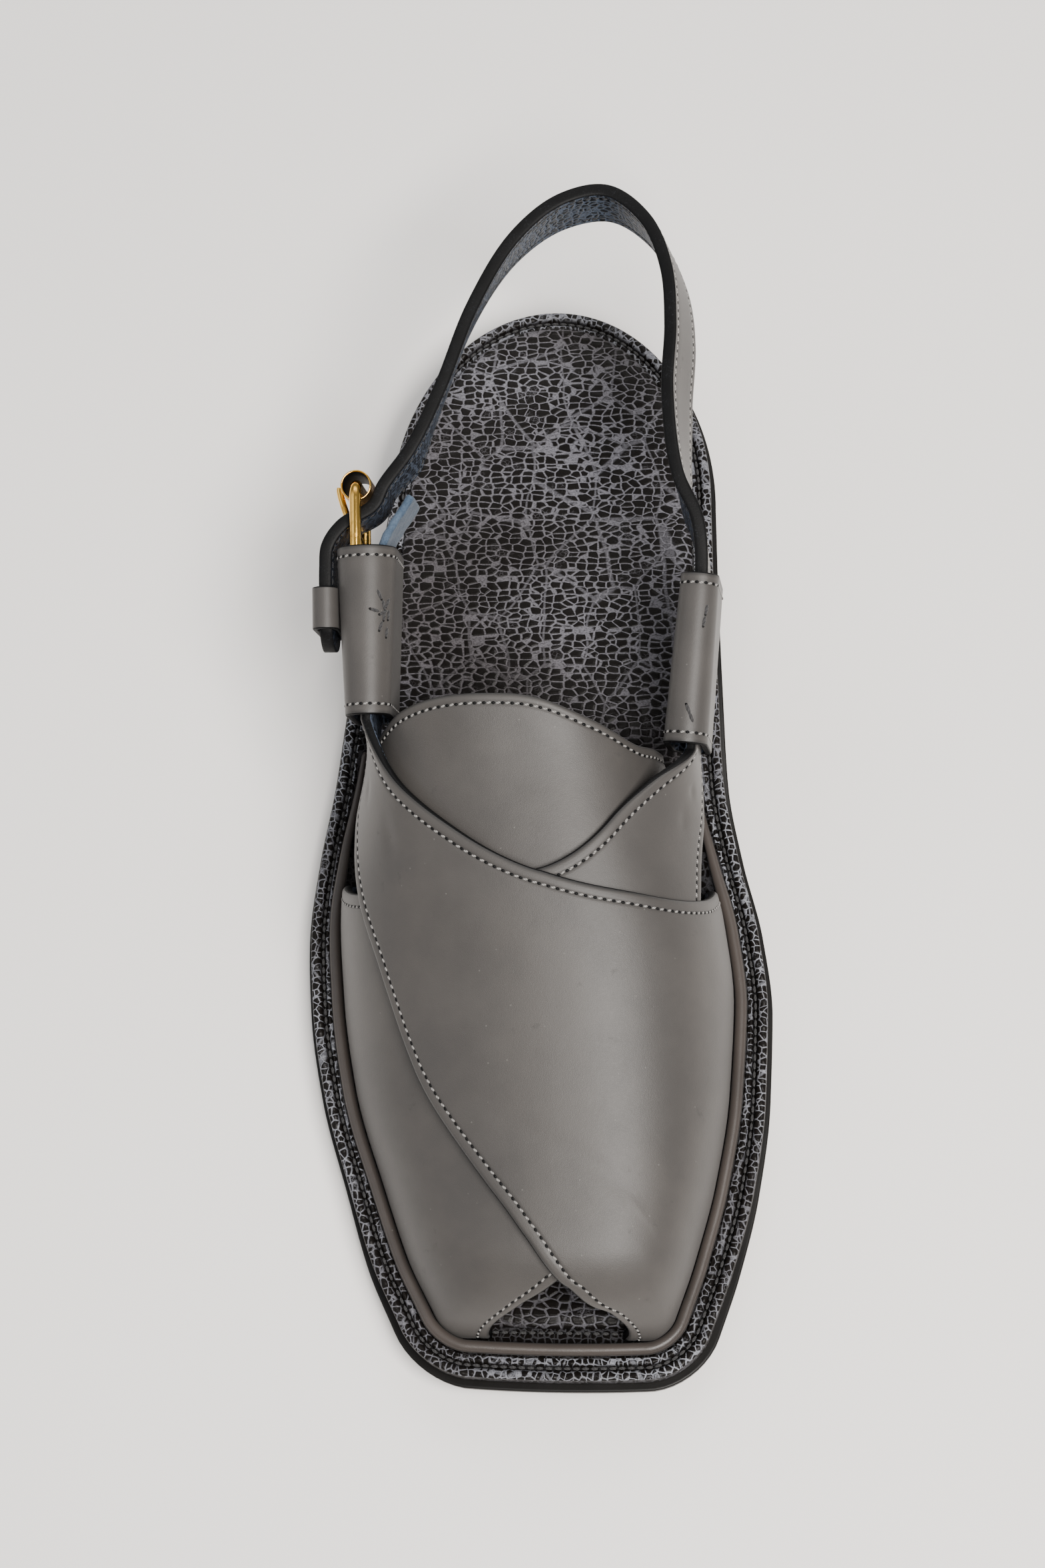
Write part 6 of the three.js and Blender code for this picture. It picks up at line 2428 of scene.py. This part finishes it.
@dataclass
class Upper:
    """The two crossed straps, the tongue and the two sleeves."""

    last: LastShape
    lateral: AnkleShape
    medial: AnkleShape
    bench: Bench
    sleeve_seam_in: float = 2.7

    over_top = table("along around lift", (0.535, -0.45, 1), (0.490, -0.38, 1), (0.432, -0.18, 1),
                     (0.397, 0.02, 1), (0.384, 0.27, 0.9), (0.392, 0.60, 0.4), (0.434, 1.00, 0))
    over_toe = table("along around lift", (0.565, -0.80, 1), (0.480, -0.72, 1), (0.360, -0.58, 1),
                     (0.225, -0.44, 1), (0.120, -0.17, 1), (0.080, 0.00, 0.9), (0.062, 0.22, 0.4),
                     (0.000, 0.50, 0))
    under_top = table("along around lift", (0.512, 0.50, 0), (0.485, 0.40, 0), (0.446, 0.26, 0),
                      (0.402, 0.01, 0), (0.390, -0.30, 0), (0.405, -0.70, 0), (0.440, -1.00, 0))
    under_toe = table("along around lift", (0.540, 0.84, 0), (0.470, 0.74, 0), (0.398, 0.62, 0),
                      (0.250, 0.44, 0), (0.130, 0.16, 0), (0.082, -0.01, 0), (0.064, -0.18, 0),
                      (0.000, -0.46, 0))

    def build(self, seam: Seam) -> None:
        """Makes the straps, the tongue and the sleeves.

        Args:
            seam: the seam that takes the stitch lines.
        """
        bench = self.bench
        over = Strap("over_strap", self.last, self.lateral, self.over_top, self.over_toe, bench,
                     ((0.62, 0.62, -38, 26, 5, -0.35), (0.70, 0.55, -30, 20, 4, 0.2),
                      (0.14, 0.5, 80, 9, 3, -0.3), (0.24, 0.4, 70, 12, 4, -0.25)))
        over.build(seam, "upper")
        under = Strap("under_strap", self.last, self.medial, self.under_top, self.under_toe, bench,
                      ((0.12, 0.5, 85, 9, 3, -0.3), (0.2, 0.55, 75, 10, 4, -0.2)))
        under.build(seam)
        Tongue(self.last, bench).build(seam)
        for name, ankle in (("lateral_sleeve", self.lateral), ("medial_sleeve", self.medial)):
            rows = (self.sleeve_seam_in, ankle.length - self.sleeve_seam_in)
            tube = Tube(name.replace("_sleeve", "_ankle_sleeve"), ankle, bench, ankle.wall, 0.0,
                        ankle.length, 0.0, ankle.half, ankle.middle(), rows)
            tube.build(Slot.LEATHER, name, seam)
        self.mend()

    def fold_path(
        self, ankle: AnkleShape, corners: Sequence[tuple[float, float]]
    ) -> tuple[Array, Array]:
        """Path over a sleeve's fold through places given as distance back and angle in degrees.

        Args:
            ankle: the sleeve's ankle.
            corners: the path's corners.

        Returns:
            Points just above the leather, and its normals there.
        """
        back, angle = np.array(corners, float).T
        steps = np.linspace(0, len(back) - 1, 14 * (len(back) - 1))
        back, angle = (np.interp(steps, np.arange(len(corners)), v) for v in (back, angle))
        half, turn = ankle.half(back), np.radians(angle)
        fold = ankle.middle() - half
        points, below = (ankle.point(back, r * np.cos(turn), fold + r * np.sin(turn))
                         for r in (half, half - 1))
        return points, unit(points - below)

    def mend(self) -> None:
        """Sews the few dark hand stitches that close the sleeves."""
        finishes = self.bench.finishes
        hand = Seam("hand_stitches", finishes.dark_thread, finishes.hole_shade, pitch=2.5, length=2.9,
                    width=0.95, height=0.7, slant=0.0, hole=0.45)
        for corners in (((30.5, 122), (26.5, 138), (22.5, 126)), ((28.5, 142), (25.5, 130), (26.5, 112)),
                        ((25.5, 146), (21.0, 142))):
            hand.along(*self.fold_path(self.lateral, corners))
        for corners in (((6.5, 78), (8.5, 88)), ((34.0, 60), (31.0, 64))):
            hand.along(*self.fold_path(self.medial, corners))
        self.bench.seam(hand, Slot.LEATHER)


@dataclass(frozen=True)
class Lamp:
    """A soft rectangular lamp: its place and size in metres, its power in watts and its tint."""

    name: str
    place: tuple[float, float, float]
    power: float
    size: tuple[float, float]
    tint: tuple[float, float, float]

    def hang(self, aim: Sequence[float]) -> None:
        """Adds the lamp, turned to a point.

        Args:
            aim: the point that it looks at.
        """
        data = bpy.data.lights.new(self.name, "AREA")
        data.shape, data.energy, data.color = "RECTANGLE", self.power, self.tint
        data.size, data.size_y = self.size
        lamp = bpy.data.objects.new(self.name, data)
        turned = (Vector(aim) - Vector(self.place)).to_track_quat("-Z", "Y").to_matrix()
        lamp.matrix_world = Matrix.Translation(self.place) @ turned.to_4x4()
        bpy.context.scene.collection.objects.link(lamp)


@dataclass(frozen=True)
class Studio:
    """Pale floor, soft lamps and the camera, in metres."""

    eye: tuple[float, float, float] = (0.0675, -0.2783, 0.8127)
    aim: tuple[float, float, float] = (-0.004, 0.004, 0.026)
    lens: float = 73.0
    floor: Colour = (0.90, 0.875, 0.85, 1.0)
    reach: float = 6.0
    sky: Colour = (0.95, 0.97, 1.0, 1.0)
    sky_strength: float = 0.28
    lamps: tuple[Lamp, ...] = (
        Lamp("key", (0.38, -0.42, 1.08), 30.0, (0.7, 0.42), (1.0, 0.965, 0.925)),
        Lamp("fill", (-0.9, 0.1, 0.9), 4.0, (1.0, 1.2), (0.95, 0.97, 1.0)),
        Lamp("top", (0.1, 0.95, 0.95), 7.5, (1.2, 0.6), (1.0, 0.99, 0.97)),
    )

    def camera(self) -> None:
        """Sets the camera above the toe at the photograph's angle."""
        data = bpy.data.cameras.new("view")
        data.lens, data.sensor_width, data.clip_start = self.lens, 36.0, 0.01
        view = bpy.data.objects.new("view", data)
        forward = (Vector(self.aim) - Vector(self.eye)).normalized()
        level = Vector((1, 0, 0))
        right = (level - forward * level.dot(forward)).normalized()
        up = right.cross(forward)
        turned = Matrix((right, up, -forward)).transposed().to_4x4()
        view.matrix_world = Matrix.Translation(self.eye) @ turned
        bpy.context.scene.collection.objects.link(view)
        bpy.context.scene.camera = view

    def build(self) -> None:
        """Makes the floor, the lamps, the soft surround and the camera."""
        mesh = bpy.data.meshes.new("floor")
        signs = ((-1, -1), (1, -1), (1, 1), (-1, 1))
        corners = [(self.reach * x, self.reach * y, 0) for x, y in signs]
        mesh.from_pydata(corners, [], [(0, 1, 2, 3)])
        material, shade, shader = new_finish("pale_floor", Roughness=0.9, Specular_IOR_Level=0.1)
        tone = shade.span(shade.noise(shade.place(), 3.0, 3.0), 0.2, 0.8)
        dim = tuple(0.97 * x for x in self.floor[:3]) + (1.0,)
        material.node_tree.links.new(shade.blend(tone, dim, self.floor), shader.inputs["Base Color"])
        mesh.materials.append(material)
        floor = bpy.data.objects.new("floor", mesh)
        bpy.context.scene.collection.objects.link(floor)
        for lamp in self.lamps:
            lamp.hang(self.aim)
        world = bpy.data.worlds.new("surround")
        world.use_nodes = True
        sky = world.node_tree.nodes["Background"].inputs
        sky["Color"].default_value, sky["Strength"].default_value = self.sky, self.sky_strength
        bpy.context.scene.world = world
        self.camera()


def main() -> None:
    """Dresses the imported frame, sub-assembly by sub-assembly."""
    logging.basicConfig(level=logging.INFO, format="%(name)s: %(message)s")
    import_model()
    sole = SoleShape()
    shift = -0.5 * sole.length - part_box("outsole")[0].y / MM
    bench = Bench(Finishes().build(), shift)
    last = LastShape(sole)
    lateral = AnkleShape(Side.LATERAL, -0.330, -0.338, 0.535, 66.5, 1, 0.3, 11.6, 15.6)
    medial = AnkleShape(Side.MEDIAL, 0.323, 0.353, 0.512, 64, 1, 1.5, 11.4, 9.8)
    Studio().build()
    Sole(sole, bench).build()
    upper_seam = Seam("upper_seam", bench.finishes.thread, bench.finishes.hole_shade)
    Upper(last, lateral, medial, bench).build(upper_seam)
    bench.seam(upper_seam, Slot.LEATHER)
    band_seam = Seam("band_seam", bench.finishes.thread, bench.finishes.hole_shade, **BAND_STITCHES)
    HeelBand(lateral, medial, bench, sole).build(band_seam)
    bench.seam(band_seam, Slot.STRAP)
    Buckle(lateral, bench).build()


if __name__ == "__main__":
    main()
